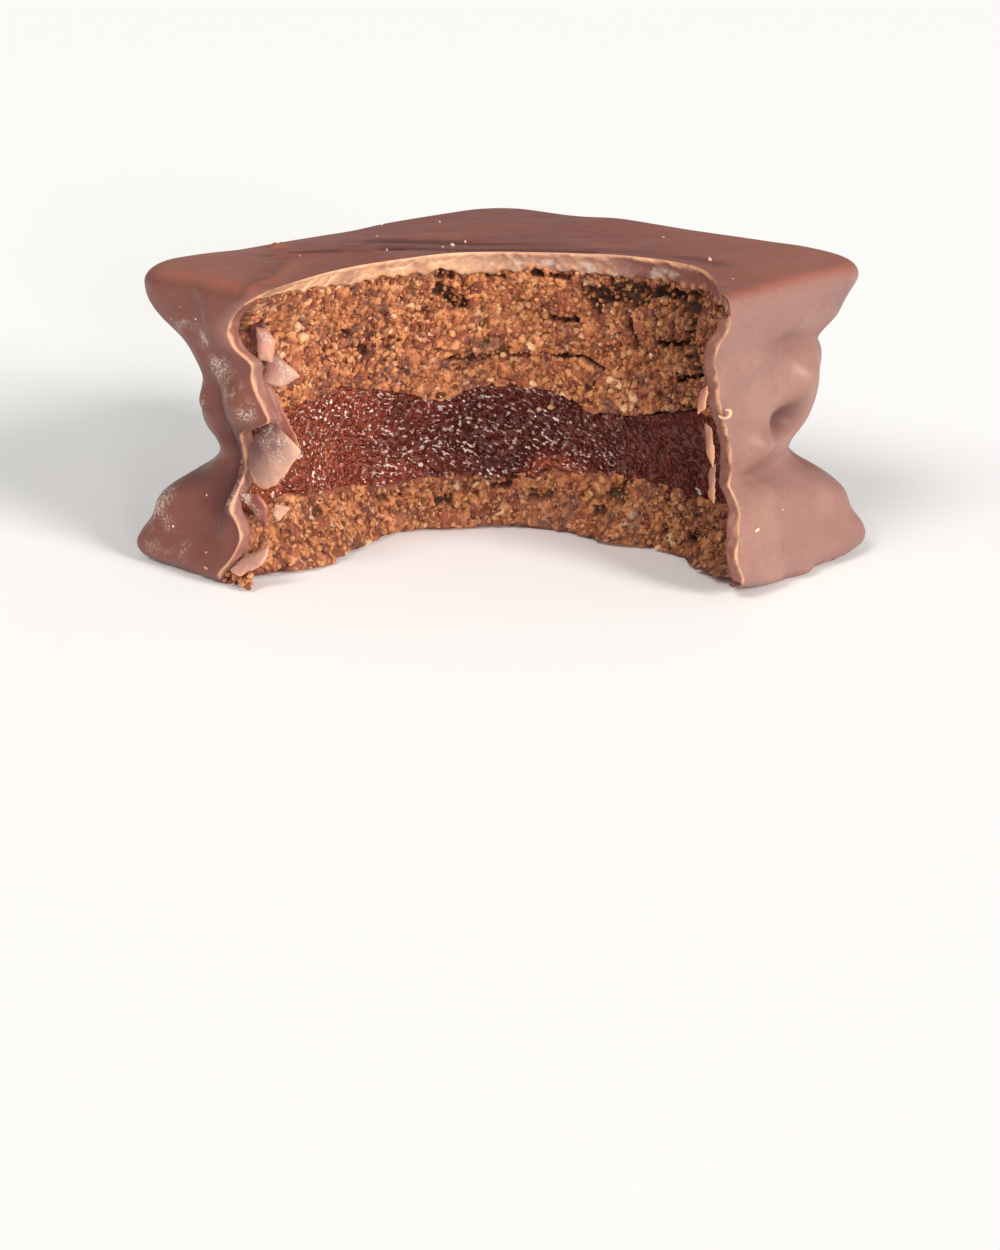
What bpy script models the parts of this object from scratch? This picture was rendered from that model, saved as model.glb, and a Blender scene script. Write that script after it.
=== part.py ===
"""A square chocolate-coated alfajor with one corner bitten off, at its real size.

Two almond-meal biscuits hold a thick dark filling. A chocolate coat closes over the top and the
sides and is thin underneath. It draws in at a waist beside the filling and spreads into a ragged
foot at the base. The bite has scooped out the corner at +X, -Y through every layer.

Units are metres and +Z is up. The origin is the middle of the base, and the sides run along X and Y.
"""

import math

import bmesh
import bpy
from mathutils import Vector

MM = 0.001

# Layers, from the base up
BASE_COAT = 0.7 * MM
LOWER_BISCUIT = 4.9 * MM
FILLING = 9.0 * MM
UPPER_BISCUIT = 13.4 * MM
TOP_COAT = 1.8 * MM
LOWER_SEAM = BASE_COAT + LOWER_BISCUIT
UPPER_SEAM = LOWER_SEAM + FILLING
HEIGHT = UPPER_SEAM + UPPER_BISCUIT + TOP_COAT
SIDE_COAT = 1.4 * MM
GAP = 0.3 * MM  # between one solid and the next

# Side of the coat: height above the base, how far it stands in from half the top side, and the
# radius of the square's corners there
TOP_SIDE = 52.0 * MM
SIDE_PROFILE = (
    (0.0 * MM, -0.7 * MM, 3.2 * MM),  # underside of the foot
    (0.9 * MM, -0.9 * MM, 3.2 * MM),  # edge of the foot
    (2.6 * MM, -0.7 * MM, 3.0 * MM),  # top of the foot
    (7.0 * MM, 1.1 * MM, 4.4 * MM),  # beside the lower biscuit
    (11.0 * MM, 2.7 * MM, 10.2 * MM),  # waist
    (15.0 * MM, 1.9 * MM, 8.9 * MM),
    (20.5 * MM, 1.8 * MM, 9.7 * MM),  # beside the upper biscuit
    (25.0 * MM, 0.8 * MM, 6.0 * MM),
    (HEIGHT - 1.6 * MM, 0.0 * MM, 5.2 * MM),  # top edge at its widest
    (HEIGHT - 0.5 * MM, 0.3 * MM, 5.0 * MM),
    (HEIGHT, 1.4 * MM, 4.4 * MM),  # rim of the top face
)
FOOT_TOP = SIDE_PROFILE[2][0]  # the biscuits and the filling have no foot, so theirs starts here

# Unevenness of the poured coat
LUMP = 0.55 * MM
FOOT_RAG = 0.8 * MM
DOME = 0.5 * MM
KNOB = 1.3 * MM  # a lump of coat on the corner at +X, +Y
KNOB_HEIGHT = 20.0 * MM
KNOB_WIDTH = 3.0 * MM
LAYER_WAVE = 0.45 * MM  # where one layer meets the next

# Bite: a round scoop centred on a point near the bitten corner, deepest beside the filling
BITE_CENTRE = Vector((11.5 * MM, -12.9 * MM))
BITE_OUT = Vector((1.0, -1.0)).normalized()  # from the middle towards the bitten corner
BITE_ACROSS = Vector((1.0, 1.0)).normalized()
BITE_RADIUS = 21.5 * MM
BITE_POINT = 1.4 * MM  # how much further it reaches along the diagonal
BITE_SCOOP = 3.4 * MM  # how much deeper it is beside the filling than at the top
BITE_DEEPEST = 9.0 * MM  # height of the deepest part
BITE_BASE_SHARE = 0.55  # share of the scoop left at the base
BITE_RUN_OUT = 34.0 * MM
TEETH = 7
TOOTH = 0.4 * MM
CRUMB = 0.35 * MM  # roughness of the bitten biscuits
FILLING_BACK = 0.5 * MM  # how far the bitten filling stands back from the edge of the coat
CRUMB_BACK = 0.3 * MM  # the same for the bitten biscuits
FLAP = 5.2 * MM  # a flap of coat that still stands out over the bite on the -Y side
FLAP_HEIGHT = 14.0 * MM
FLAP_WIDTH = 3.8 * MM
FLAP_END = math.radians(-70)  # angle from the diagonal where the flap ends

# Resolution
SIDE_STEPS = 13
CORNER_STEPS = 5
ARC_STEPS = 44
WALL_STEPS = 4


def heights_between(low, high, steps):
    """Evenly spaced heights, both ends included."""
    return [low + (high - low) * step / steps for step in range(steps + 1)]


LOWER_HEIGHTS = heights_between(BASE_COAT, LOWER_SEAM, 3)
FILLING_HEIGHTS = heights_between(LOWER_SEAM, UPPER_SEAM, 6)
UPPER_HEIGHTS = heights_between(UPPER_SEAM, HEIGHT - TOP_COAT, 7)


def smooth_between(low, high, share):
    """A value that leaves low and reaches high without a kink."""
    return low + (high - low) * (0.5 - 0.5 * math.cos(math.pi * share))


def profile_at(height):
    """Inset and corner radius of the side at a height."""
    height = min(max(height, SIDE_PROFILE[0][0]), SIDE_PROFILE[-1][0])
    for below, above in zip(SIDE_PROFILE, SIDE_PROFILE[1:]):
        if height <= above[0]:
            share = (height - below[0]) / (above[0] - below[0])
            inset = smooth_between(below[1], above[1], share)
            return inset, smooth_between(below[2], above[2], share)
    return SIDE_PROFILE[-1][1:]


def square_ring(half, radius):
    """Points of a round-cornered square, anticlockwise from one end of the +X side, each with its
    outward direction."""
    ring = []
    straight = half - radius
    for corner in range(4):
        turn = corner * math.pi / 2
        side = Vector((math.cos(turn), math.sin(turn)))
        along = Vector((-side.y, side.x))
        for step in range(SIDE_STEPS):
            reach = straight * (2 * step / SIDE_STEPS - 1)
            ring.append((side * half + along * reach, side))
        middle = side * straight + along * straight
        for step in range(CORNER_STEPS):
            angle = turn + math.pi / 2 * step / CORNER_STEPS
            out = Vector((math.cos(angle), math.sin(angle)))
            ring.append((middle + out * radius, out))
    return ring


def lump(place, height):
    """How far the poured coat stands out or in at a point of the side."""
    angle = math.atan2(place.y, place.x)
    fade = math.sin(math.pi * min(max(height / HEIGHT, 0.0), 1.0))
    slow = math.sin(4 * angle + 0.7) * math.sin(260.0 * height + 1.9)
    quick = math.sin(11 * angle + 2.1) * math.cos(430.0 * height + 0.4)
    knob = math.exp(-(((angle - math.pi / 4) * TOP_SIDE / 2 / KNOB_WIDTH) ** 2))
    knob *= math.exp(-(((height - KNOB_HEIGHT) / KNOB_WIDTH) ** 2))
    return fade * LUMP * (0.65 * slow + 0.35 * quick) + KNOB * knob


def foot_rag(place):
    """How far the foot's edge spreads at a point of the base."""
    angle = math.atan2(place.y, place.x)
    wave = math.sin(7 * angle + 0.3) + 0.7 * math.sin(15 * angle + 1.7)
    return FOOT_RAG * (wave + 0.4 * math.sin(23 * angle)) / 2


def foot_share(height):
    """1 at the foot's edge, falling to 0 at the base and above the foot."""
    edge = SIDE_PROFILE[1][0]
    if height < edge:
        return height / edge
    return max(0.0, 1 - (height - edge) / (FOOT_TOP - edge))


def layer_wave(place):
    """Unevenness of the face between two layers."""
    wave = math.sin(190.0 * place.x + 0.8) * math.cos(160.0 * place.y)
    return LAYER_WAVE * (wave + 0.4 * math.sin(420.0 * (place.x - place.y)))


def dome(place):
    """Gentle rise of the top towards its middle."""
    share = min(place.length / (TOP_SIDE / 2), 1.0)
    return DOME * (1 - share**2)


def level(place):
    """A flat face."""
    return 0.0


def side_ring(height, inset, is_outer):
    """Points of the side at one height, set in from the coat's own side."""
    profile_inset, radius = profile_at(height if is_outer else max(height, FOOT_TOP))
    half = TOP_SIDE / 2 - profile_inset - inset
    ring = []
    for place, out in square_ring(half, max(radius - inset, 1.5 * MM)):
        stand = lump(place, height)
        if is_outer:
            stand += foot_rag(place) * foot_share(height)
        ring.append(place + out * stand)
    return ring


def bridge(bm, lower, upper):
    """Quads between two rings of vertices."""
    for i in range(len(lower)):
        j = (i + 1) % len(lower)
        bm.faces.new((lower[i], lower[j], upper[j], upper[i]))


def close_flat(bm, ring, is_top):
    """One flat face over a ring of vertices."""
    bm.faces.new(ring if is_top else ring[::-1])


def close_uneven(bm, ring, surface, height, is_top):
    """Rings of quads that carry a surface from a ring of vertices to its middle."""
    outer = ring
    for share in (0.8, 0.5, 0.2):
        inner = []
        for vert in ring:
            place = vert.co.xy * share
            inner.append(bm.verts.new((place.x, place.y, height + surface(place))))
        if is_top:
            bridge(bm, outer, inner)
        else:
            bridge(bm, inner, outer)
        outer = inner
    close_flat(bm, outer, is_top)


def new_object(name, bm, material=None):
    """Turns a bmesh into an object, smooth except at its sharp edges."""
    mesh = bpy.data.meshes.new(name)
    bm.normal_update()
    bm.to_mesh(mesh)
    bm.free()
    piece = bpy.data.objects.new(name, mesh)
    bpy.context.collection.objects.link(piece)
    if material:
        mesh.materials.append(material)
    mesh.shade_smooth()
    mesh.set_sharp_from_angle(angle=math.radians(40))
    return piece


def layer(name, heights, inset, floor=None, roof=None, is_outer=False, material=None):
    """A closed slab with the cookie's outline between its lowest and highest height."""
    bm = bmesh.new()
    base, top = heights[0], heights[-1]
    rings = []
    for height in heights:
        share = (height - base) / (top - base)
        verts = []
        for i, place in enumerate(side_ring(height, inset, is_outer)):
            low = base + (floor or level)(place)
            high = top + (roof or level)(place)
            z = low + (high - low) * share
            if floor or roof:
                place = side_ring(z, inset, is_outer)[i]
            verts.append(bm.verts.new((place.x, place.y, z)))
        rings.append(verts)
    for lower, upper in zip(rings, rings[1:]):
        bridge(bm, lower, upper)
    if floor:
        close_uneven(bm, rings[0], floor, base, is_top=False)
    else:
        close_flat(bm, rings[0], is_top=False)
    if roof:
        close_uneven(bm, rings[-1], roof, top, is_top=True)
    else:
        close_flat(bm, rings[-1], is_top=True)
    return new_object(name, bm, material)


def scoop_share(height):
    """0 at the top of the bite, 1 at its deepest and part of the way back at the base."""
    if height > BITE_DEEPEST:
        share = min((height - BITE_DEEPEST) / (HEIGHT - BITE_DEEPEST), 1.0)
        return math.cos(math.pi / 2 * share)
    share = min((BITE_DEEPEST - height) / BITE_DEEPEST, 1.0)
    return smooth_between(1.0, BITE_BASE_SHARE, share)


def bite_reach(angle, height, back, crumb, flap):
    """Distance from the bite's centre to its wall, at an angle from the diagonal."""
    turned = abs(angle) / (math.pi / 2)
    reach = BITE_RADIUS + back * (1 - turned**4)
    reach += BITE_POINT * math.cos(angle) ** 2
    reach += BITE_SCOOP * scoop_share(height) * (1 - 0.9 * turned**4)
    reach += TOOTH * abs(math.sin(TEETH * angle / 2 + 0.4))
    rough = math.sin(21 * angle + 700.0 * height) + math.sin(34 * angle - 1100.0 * height + 1.0)
    reach += crumb * 0.5 * rough
    if angle < FLAP_END:
        reach -= flap * math.exp(-(((height - FLAP_HEIGHT) / FLAP_WIDTH) ** 2))
    return reach


def bite_cutter(name, back=0.0, crumb=0.0, flap=0.0):
    """The bitten-off space: a scooped arc whose two ends run straight out past the corner."""
    bm = bmesh.new()
    below = [-3 * MM]
    inside = heights_between(0.0, HEIGHT, 13)
    above = [HEIGHT + 3 * MM]
    rings = []
    for height in below + inside + above:
        verts = []
        for step in range(ARC_STEPS + 1):
            angle = math.pi * (step / ARC_STEPS - 0.5)
            reach = bite_reach(angle, height, back, crumb, flap)
            place = BITE_CENTRE - BITE_OUT * (reach * math.cos(angle))
            place += BITE_ACROSS * (reach * math.sin(angle))
            verts.append(bm.verts.new((place.x, place.y, height)))
        ends = Vector(verts[0].co.xy), Vector(verts[-1].co.xy)
        for end, run in ((ends[1], 1), (ends[0], -1)):
            steps = range(1, WALL_STEPS + 1)
            for step in steps if run == 1 else reversed(steps):
                place = end + BITE_OUT * (BITE_RUN_OUT * step / WALL_STEPS)
                verts.append(bm.verts.new((place.x, place.y, height)))
        rings.append(verts[::-1])
    for lower, upper in zip(rings, rings[1:]):
        bridge(bm, lower, upper)
    close_flat(bm, rings[0], is_top=False)
    close_flat(bm, rings[-1], is_top=True)
    return hide(new_object(name, bm))


def hide(cutter):
    """Marks an object as a cutter, which is not part of the cookie."""
    cutter.hide_render = True
    cutter.display_type = "WIRE"
    return cutter


def cut(piece, cutter):
    """Takes a cutter's volume out of a piece."""
    boolean = piece.modifiers.new(cutter.name, "BOOLEAN")
    boolean.operation = "DIFFERENCE"
    boolean.solver = "EXACT"
    boolean.object = cutter


def food_material(name, colour, roughness, coat=0.0):
    """A plain Principled material."""
    material = bpy.data.materials.new(name)
    material.use_nodes = True
    shader = material.node_tree.nodes["Principled BSDF"]
    shader.inputs["Base Color"].default_value = (*colour, 1.0)
    shader.inputs["Roughness"].default_value = roughness
    shader.inputs["Metallic"].default_value = 0.0
    shader.inputs["Coat Weight"].default_value = coat
    return material


def chocolate_coat(bite):
    """The coat: the whole outer form, hollow inside and opened by the bite."""
    stations = [station[0] for station in SIDE_PROFILE]
    middles = [(low + high) / 2 for low, high in zip(stations[2:8], stations[3:9])]
    coat = layer(
        "chocolate_coat",
        sorted(stations + middles),
        inset=0.0,
        roof=dome,
        is_outer=True,
        material=food_material("chocolate", (0.27, 0.12, 0.09), 0.38, coat=0.2),
    )
    hollow_heights = [*LOWER_HEIGHTS, *FILLING_HEIGHTS[1:], *UPPER_HEIGHTS[1:]]
    hollow = layer("coat_hollow", hollow_heights, inset=SIDE_COAT)
    cut(coat, hide(hollow))
    cut(coat, bite)
    return coat


def biscuits_and_filling():
    """The three layers inside the coat, from the base up."""
    crumb = food_material("biscuit", (0.36, 0.15, 0.07), 0.85)
    dark = food_material("filling", (0.12, 0.035, 0.025), 0.2, coat=0.5)
    inset = SIDE_COAT + GAP
    crumb_bite = bite_cutter("bite_in_biscuits", back=CRUMB_BACK, crumb=CRUMB)
    filling_bite = bite_cutter("bite_in_filling", back=FILLING_BACK, crumb=CRUMB / 2)
    lower = layer(
        "biscuit_lower",
        [LOWER_HEIGHTS[0] + GAP, *LOWER_HEIGHTS[1:-1], LOWER_HEIGHTS[-1] - GAP / 2],
        inset,
        roof=layer_wave,
        material=crumb,
    )
    filling = layer(
        "filling",
        [FILLING_HEIGHTS[0] + GAP / 2, *FILLING_HEIGHTS[1:-1], FILLING_HEIGHTS[-1] - GAP / 2],
        inset,
        floor=layer_wave,
        roof=layer_wave,
        material=dark,
    )
    upper = layer(
        "biscuit_upper",
        [UPPER_HEIGHTS[0] + GAP / 2, *UPPER_HEIGHTS[1:-1], UPPER_HEIGHTS[-1] - GAP],
        inset,
        floor=layer_wave,
        material=crumb,
    )
    cut(lower, crumb_bite)
    cut(filling, filling_bite)
    cut(upper, crumb_bite)
    return [lower, filling, upper]


def centre_on_base(pieces):
    """Moves the cookie so that the middle of its box stands over the origin."""
    bpy.context.view_layer.update()
    graph = bpy.context.evaluated_depsgraph_get()
    points = [v.co for piece in pieces for v in piece.evaluated_get(graph).data.vertices]
    middle_x = (min(p.x for p in points) + max(p.x for p in points)) / 2
    middle_y = (min(p.y for p in points) + max(p.y for p in points)) / 2
    for piece in bpy.context.collection.objects:
        piece.location = (-middle_x, -middle_y, 0.0)


def main():
    for old in list(bpy.data.objects):
        bpy.data.objects.remove(old)
    coat = chocolate_coat(bite_cutter("bite_in_coat", flap=FLAP))
    centre_on_base([coat, *biscuits_and_filling()])


main()
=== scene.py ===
import itertools
import math

import bmesh
import bpy
import numpy as np
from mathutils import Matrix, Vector


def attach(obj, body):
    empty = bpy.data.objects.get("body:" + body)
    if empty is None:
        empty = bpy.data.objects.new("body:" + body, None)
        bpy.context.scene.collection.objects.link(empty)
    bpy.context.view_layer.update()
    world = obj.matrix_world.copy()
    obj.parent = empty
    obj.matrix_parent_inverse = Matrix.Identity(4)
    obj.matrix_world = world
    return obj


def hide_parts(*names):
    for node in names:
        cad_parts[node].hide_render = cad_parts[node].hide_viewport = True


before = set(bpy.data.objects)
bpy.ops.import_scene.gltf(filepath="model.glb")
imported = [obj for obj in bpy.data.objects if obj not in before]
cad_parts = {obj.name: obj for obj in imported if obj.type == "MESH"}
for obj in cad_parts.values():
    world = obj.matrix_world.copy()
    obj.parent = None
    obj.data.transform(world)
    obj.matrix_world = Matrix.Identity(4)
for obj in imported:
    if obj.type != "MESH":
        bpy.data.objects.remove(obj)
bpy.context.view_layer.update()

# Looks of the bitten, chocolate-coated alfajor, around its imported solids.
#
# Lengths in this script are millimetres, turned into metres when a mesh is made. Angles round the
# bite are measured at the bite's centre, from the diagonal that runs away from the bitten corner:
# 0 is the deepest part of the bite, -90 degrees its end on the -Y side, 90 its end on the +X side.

MM = 0.001

# ---------------------------------------------------------------- shape of the cookie
HALF_SIDE = 26.0
HEIGHT = 29.8
BASE_COAT = 0.7
SIDE_COAT = 1.4
TOP_EDGE_START = 28.2  # from here up the side rounds over into the top face
TOP_EDGE_INSET = 1.4
DOME = 0.55

# Side of the coat: height, how far it stands in from half the side, radius of the corners
SIDE_PROFILE = np.array((
    (0.0, 0.5, 3.4),
    (0.4, -0.3, 3.3),
    (1.0, -0.85, 3.2),
    (1.8, -0.95, 3.0),
    (2.8, -0.7, 3.0),
    (4.6, 0.1, 3.6),
    (7.0, 0.7, 4.2),
    (8.4, 1.3, 6.2),
    (9.6, 2.1, 8.6),
    (11.2, 2.7, 10.4),
    (12.6, 2.6, 10.2),
    (14.2, 2.1, 9.4),
    (16.0, 1.8, 9.2),
    (20.0, 1.9, 9.8),
    (22.5, 1.5, 8.2),
    (25.0, 0.8, 5.9),
    (TOP_EDGE_START, 0.0, 5.2),
    (HEIGHT, 0.0, 4.9),
))
FOOT_TOP = 2.6

# The bite, a round scoop out of the corner at +X, -Y
BITE_CENTRE = np.array((11.5, -12.9))
BITE_OUT = np.array((1.0, -1.0)) / math.sqrt(2)
BITE_ACROSS = np.array((1.0, 1.0)) / math.sqrt(2)
# Radius of the bite at the top rim, by angle in degrees
BITE_RIM = np.array((
    (-105, 22.5), (-90, 21.4), (-75, 20.6), (-55, 20.6), (-29, 21.5), (0, 22.9),
    (26, 21.3), (45, 20.3), (70, 20.1), (85, 20.5), (105, 21.5),
))
# How much deeper than the rim the bite is, by height
BITE_DEPTH = np.array((
    (0.0, 2.4), (2.5, 3.7), (5.7, 4.4), (9.0, 4.6), (14.7, 3.9), (20.0, 3.0), (24.0, 2.1),
    (28.0, 0.9), (HEIGHT, 0.0),
))
# Radius of the coat's broken rim on the top face, which overhangs the biscuit on the left
RIM_REACH = np.array((
    (-105, 22.5), (-87, 21.2), (-77, 20.3), (-69, 19.6), (-58, 19.1), (-47, 18.8), (-35, 18.4),
    (-27, 18.4), (-20, 18.8), (-13, 19.4), (1, 20.1), (12, 20.2), (24, 20.7), (34, 21.3), (43, 21.8),
    (51, 22.2), (59, 22.2), (68, 21.4), (78, 20.6), (92, 20.4), (105, 21.5),
))
# How far the foot of the bitten biscuit stands in front of the bite's wall, by angle in degrees
FOOT_FORWARD = np.array((
    (-90, 0.0), (-76, 0.6), (-69, 2.2), (-57, 2.9), (-39, 1.6), (-23, -0.7), (-10, 1.0), (1, 0.7),
    (17, 0.8), (30, 2.2), (41, 0.5), (50, -0.5), (59, 0.9), (75, 0.0), (90, 0.0),
))
# Heights by angle: the lower edge of the broken rim, and the two lines where the filling ends
RIM_FOOT = np.array((
    (-90, 28.6), (-60, 28.3), (-38, 28.2), (-24, 28.0), (-12, 27.8), (0, 27.8), (14, 27.9), (28, 27.8),
    (45, 27.5), (60, 27.3), (90, 27.5),
))
UPPER_SEAM = np.array((
    (-90, 16.2), (-50, 16.3), (-31, 16.2), (-20, 14.7), (-10, 13.7), (-4, 14.6), (7, 14.9), (20, 13.9),
    (30, 13.0), (42, 13.7), (56, 15.0), (90, 15.2),
))
LOWER_SEAM = np.array((
    (-90, 7.6), (-60, 7.0), (-44, 6.2), (-24, 5.3), (-14, 5.7), (1, 5.1), (12, 5.7), (24, 6.4),
    (40, 6.7), (90, 6.8),
))
# Where the coat breaks off: height, then x on the -Y side or y on the +X side
LEFT_EDGE = np.array((
    (0.0, -13.2), (1.3, -12.8), (2.6, -11.8), (3.8, -11.2), (5.4, -11.0), (7.5, -12.5), (9.5, -12.6),
    (11.2, -12.6), (14.0, -12.4), (15.3, -11.6), (16.2, -9.2), (16.9, -7.6), (18.0, -8.2),
    (19.5, -9.3), (21.0, -9.9), (22.2, -9.8), (23.2, -11.4), (24.6, -11.8), (26.0, -11.2),
    (27.2, -9.8), (28.5, -7.8), (HEIGHT, -5.8),
))
RIGHT_EDGE = np.array((
    (0.0, 4.4), (1.5, 4.2), (2.9, 3.9), (4.4, 4.1), (6.3, 4.9), (9.6, 6.3), (11.7, 6.1), (14.4, 5.2),
    (17.1, 4.2), (19.7, 3.1), (22.4, 2.0), (24.4, 1.2), (25.5, 1.3), (26.2, 1.9), (27.6, 1.8), (HEIGHT, 1.8),
))
EDGE_FADE = math.radians(12)  # how far the broken edges pull the bite's wall
CRUMB_BACK = 0.3  # how far the bitten biscuit stands behind the broken coat
FILLING_BACK = 0.7
MAP_RADIUS = 24.0  # millimetres along the bite's wall for each radian

# Lumps and dents of the coat: where, how wide each way, and how far they stand out
LUMPS = (
    ((24.5, 24.5, 19.6), (4.5, 4.5, 2.0), 2.1),
    ((25.0, 23.5, 22.8), (5.0, 5.0, 1.2), -1.3),
    ((24.5, 24.5, 26.2), (7.0, 7.0, 2.6), -0.8),
    ((25.0, 25.0, 12.4), (6.0, 6.0, 1.5), -0.9),
    ((25.0, 25.0, 0.2), (7.0, 7.0, 1.8), -0.9),
    ((24.0, 15.4, 19.6), (4.0, 2.6, 2.0), 1.5),
    ((24.0, 13.4, 23.6), (4.0, 3.8, 1.3), -0.8),
    ((24.0, 14.2, 15.7), (4.0, 2.7, 1.5), -1.8),
    ((24.0, 6.0, 22.0), (4.0, 2.6, 1.8), 0.55),
    ((24.0, 9.2, 13.9), (4.0, 2.4, 1.8), 1.3),
    ((24.0, 10.0, 10.6), (4.0, 3.4, 1.2), -0.7),
    ((24.0, 16.0, 4.6), (4.0, 4.0, 2.0), 0.4),
    ((26.0, 15.0, 0.6), (3.0, 1.2, 0.7), 0.8),
    ((-24.0, -24.0, 26.0), (5.0, 5.0, 3.0), 0.8),
    ((-24.0, -24.0, 13.0), (5.0, 5.0, 1.6), 0.5),
    ((-25.0, -25.0, 9.2), (6.0, 6.0, 1.0), -0.8),
    ((-25.0, -25.0, 1.0), (7.0, 7.0, 2.0), 0.7),
    ((-16.6, -25.0, 21.0), (2.8, 4.0, 3.2), 0.9),
    ((-11.6, -25.0, 18.4), (2.6, 4.0, 2.4), 1.4),
    ((-15.6, -25.0, 17.4), (0.9, 4.0, 2.4), -0.8),
    ((-17.6, -25.0, 17.2), (1.6, 4.0, 1.4), 0.8),
    ((-14.9, -25.0, 12.0), (1.6, 4.0, 3.4), -1.5),
    ((-12.8, -25.0, 9.6), (0.9, 4.0, 4.5), 1.0),
    ((-22.8, -25.0, 5.0), (3.0, 4.0, 2.8), 0.8),
    ((-13.4, -25.0, 26.0), (1.6, 4.0, 2.4), 0.6),
    ((-16.2, -25.0, 26.6), (1.2, 4.0, 2.4), -0.5),
    ((-19.0, 25.0, 21.0), (4.0, 4.0, 3.0), 0.8),
    ((3.0, 25.0, 11.0), (5.0, 4.0, 2.5), 0.7),
    ((14.0, 25.0, 24.0), (5.0, 4.0, 3.0), 0.5),
    ((6.0, 25.0, 19.0), (3.0, 4.0, 1.6), -0.8),
    ((-25.0, 12.0, 13.0), (4.0, 4.0, 3.0), 0.8),
    ((-25.0, -6.0, 21.0), (4.0, 5.0, 2.5), 0.7),
    ((-25.0, 3.0, 17.0), (4.0, 3.0, 1.6), -0.9),
    ((-25.0, 2.0, 6.0), (4.0, 4.0, 2.0), 0.6),
)
# Ridges on the top face: the line they follow, how high they stand and how wide they are
RIDGES = (
    (((-13.0, -16.1), (-8.8, -21.8), (-8.1, -25.8)), 0.28, 0.7),
    (((-17.5, -13.7), (-14.0, -11.0), (-10.3, -4.4)), -0.3, 0.45),
    (((-16.6, -14.6), (-13.2, -11.8)), 0.2, 0.5),
    (((-22.0, -10.9), (-21.4, -10.2)), 0.55, 0.5),
    (((-6.0, 24.5), (16.0, 24.5)), 0.4, 5.0),
    (((-24.5, -12.0), (-24.5, 2.0)), -0.25, 4.0),
    (((6.0, 14.0), (12.0, 19.0), (19.0, 22.0)), 0.12, 0.9),
    (((-18.0, 2.0), (-9.0, 14.0)), -0.12, 0.6),
)

# Dark marks dragged into the top face, and the painted shade of a hollow by the left rim: the line they follow,
# half their width and how dark they are
STREAKS = (
    (((-17.9, -14.4), (-16.0, -11.1), (-14.4, -9.4)), 1.1, 1.0),
    (((-14.4, -9.4), (-12.4, -7.0)), 0.45, 0.5),
    (((-15.3, -3.0), (-10.9, 0.4), (-5.1, 4.4), (0.8, 8.4)), 1.5, 0.95),
    (((-11.8, -4.8), (-7.6, -1.5), (-3.1, 2.4), (4.0, 7.7)), 1.3, 1.0),
    (((3.3, 8.5), (7.9, 10.6), (13.2, 11.9), (17.5, 11.2)), 1.1, 0.6),
    # painted shade of a hollow, not a dragged mark
    (((-15.5, -15.0), (-11.6, -20.6), (-8.8, -24.2)), 1.4, 0.3),
    (((-16.0, -7.0), (-13.0, -5.6)), 0.4, 0.5),
)
STREAK_DEPTH = 0.1
RAISED_END = 1.5  # the bitten end at +X stands off the ground by this much

# ---------------------------------------------------------------- noise


def scramble(cells, seed):
    """A fixed number from 0 to 1 for each cell of whole numbers."""
    mask = np.uint64(0xFFFFFFFF)
    mixed = np.full(cells.shape[:-1], seed * 2654435761 % 4294967296, np.uint64)
    for axis in range(cells.shape[-1]):
        mixed ^= cells[..., axis].astype(np.int64).astype(np.uint64) & mask
        mixed = (mixed * np.uint64(2246822519) + np.uint64(3266489917)) & mask
        mixed ^= mixed >> np.uint64(15)
        mixed = (mixed * np.uint64(668265263)) & mask
        mixed ^= mixed >> np.uint64(13)
    return mixed / 4294967296.0


def noise(points, size, seed):
    """Smooth noise from about -1 to 1 with bumps about size across."""
    scaled = points / size + 100.37 * seed
    base = np.floor(scaled)
    share = scaled - base
    share = share * share * (3 - 2 * share)
    total = np.zeros(points.shape[:-1])
    for corner in itertools.product((0, 1), repeat=points.shape[-1]):
        weight = np.prod(np.where(corner, share, 1 - share), axis=-1)
        total += weight * scramble(base + corner, seed)
    return 2 * total - 1


def rough_noise(points, size, seed, octaves=3):
    """Noise with finer and weaker noise on top."""
    turn = np.array(((0.36, 0.48, -0.8), (-0.8, 0.6, 0.0), (0.48, 0.64, 0.6)))
    total = 0.0
    for octave in range(octaves):
        total = total + noise(points, size / 2**octave, seed + octave) / 2**octave
        points = points @ turn
    return total


def cell_borders(flat, size, seed):
    """Random cells on a flat map: 0 at their borders and 1 well inside, and each one's number."""
    scaled = flat / size
    base = np.floor(scaled)
    nearest = np.full(flat.shape[:-1], 9.0)
    second = np.full(flat.shape[:-1], 9.0)
    number = np.zeros(flat.shape[:-1])
    for offset in itertools.product((-1, 0, 1), repeat=2):
        cell = base + offset
        middle = cell + np.stack([scramble(cell, seed + k) for k in (1, 2)], axis=-1)
        gap = np.sqrt(((middle - scaled) ** 2).sum(-1))
        closer = gap < nearest
        second = np.where(closer, nearest, np.minimum(second, gap))
        number = np.where(closer, scramble(cell, seed + 3), number)
        nearest = np.where(closer, gap, nearest)
    return np.clip((second - nearest) / 0.4, 0, 1), number


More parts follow.
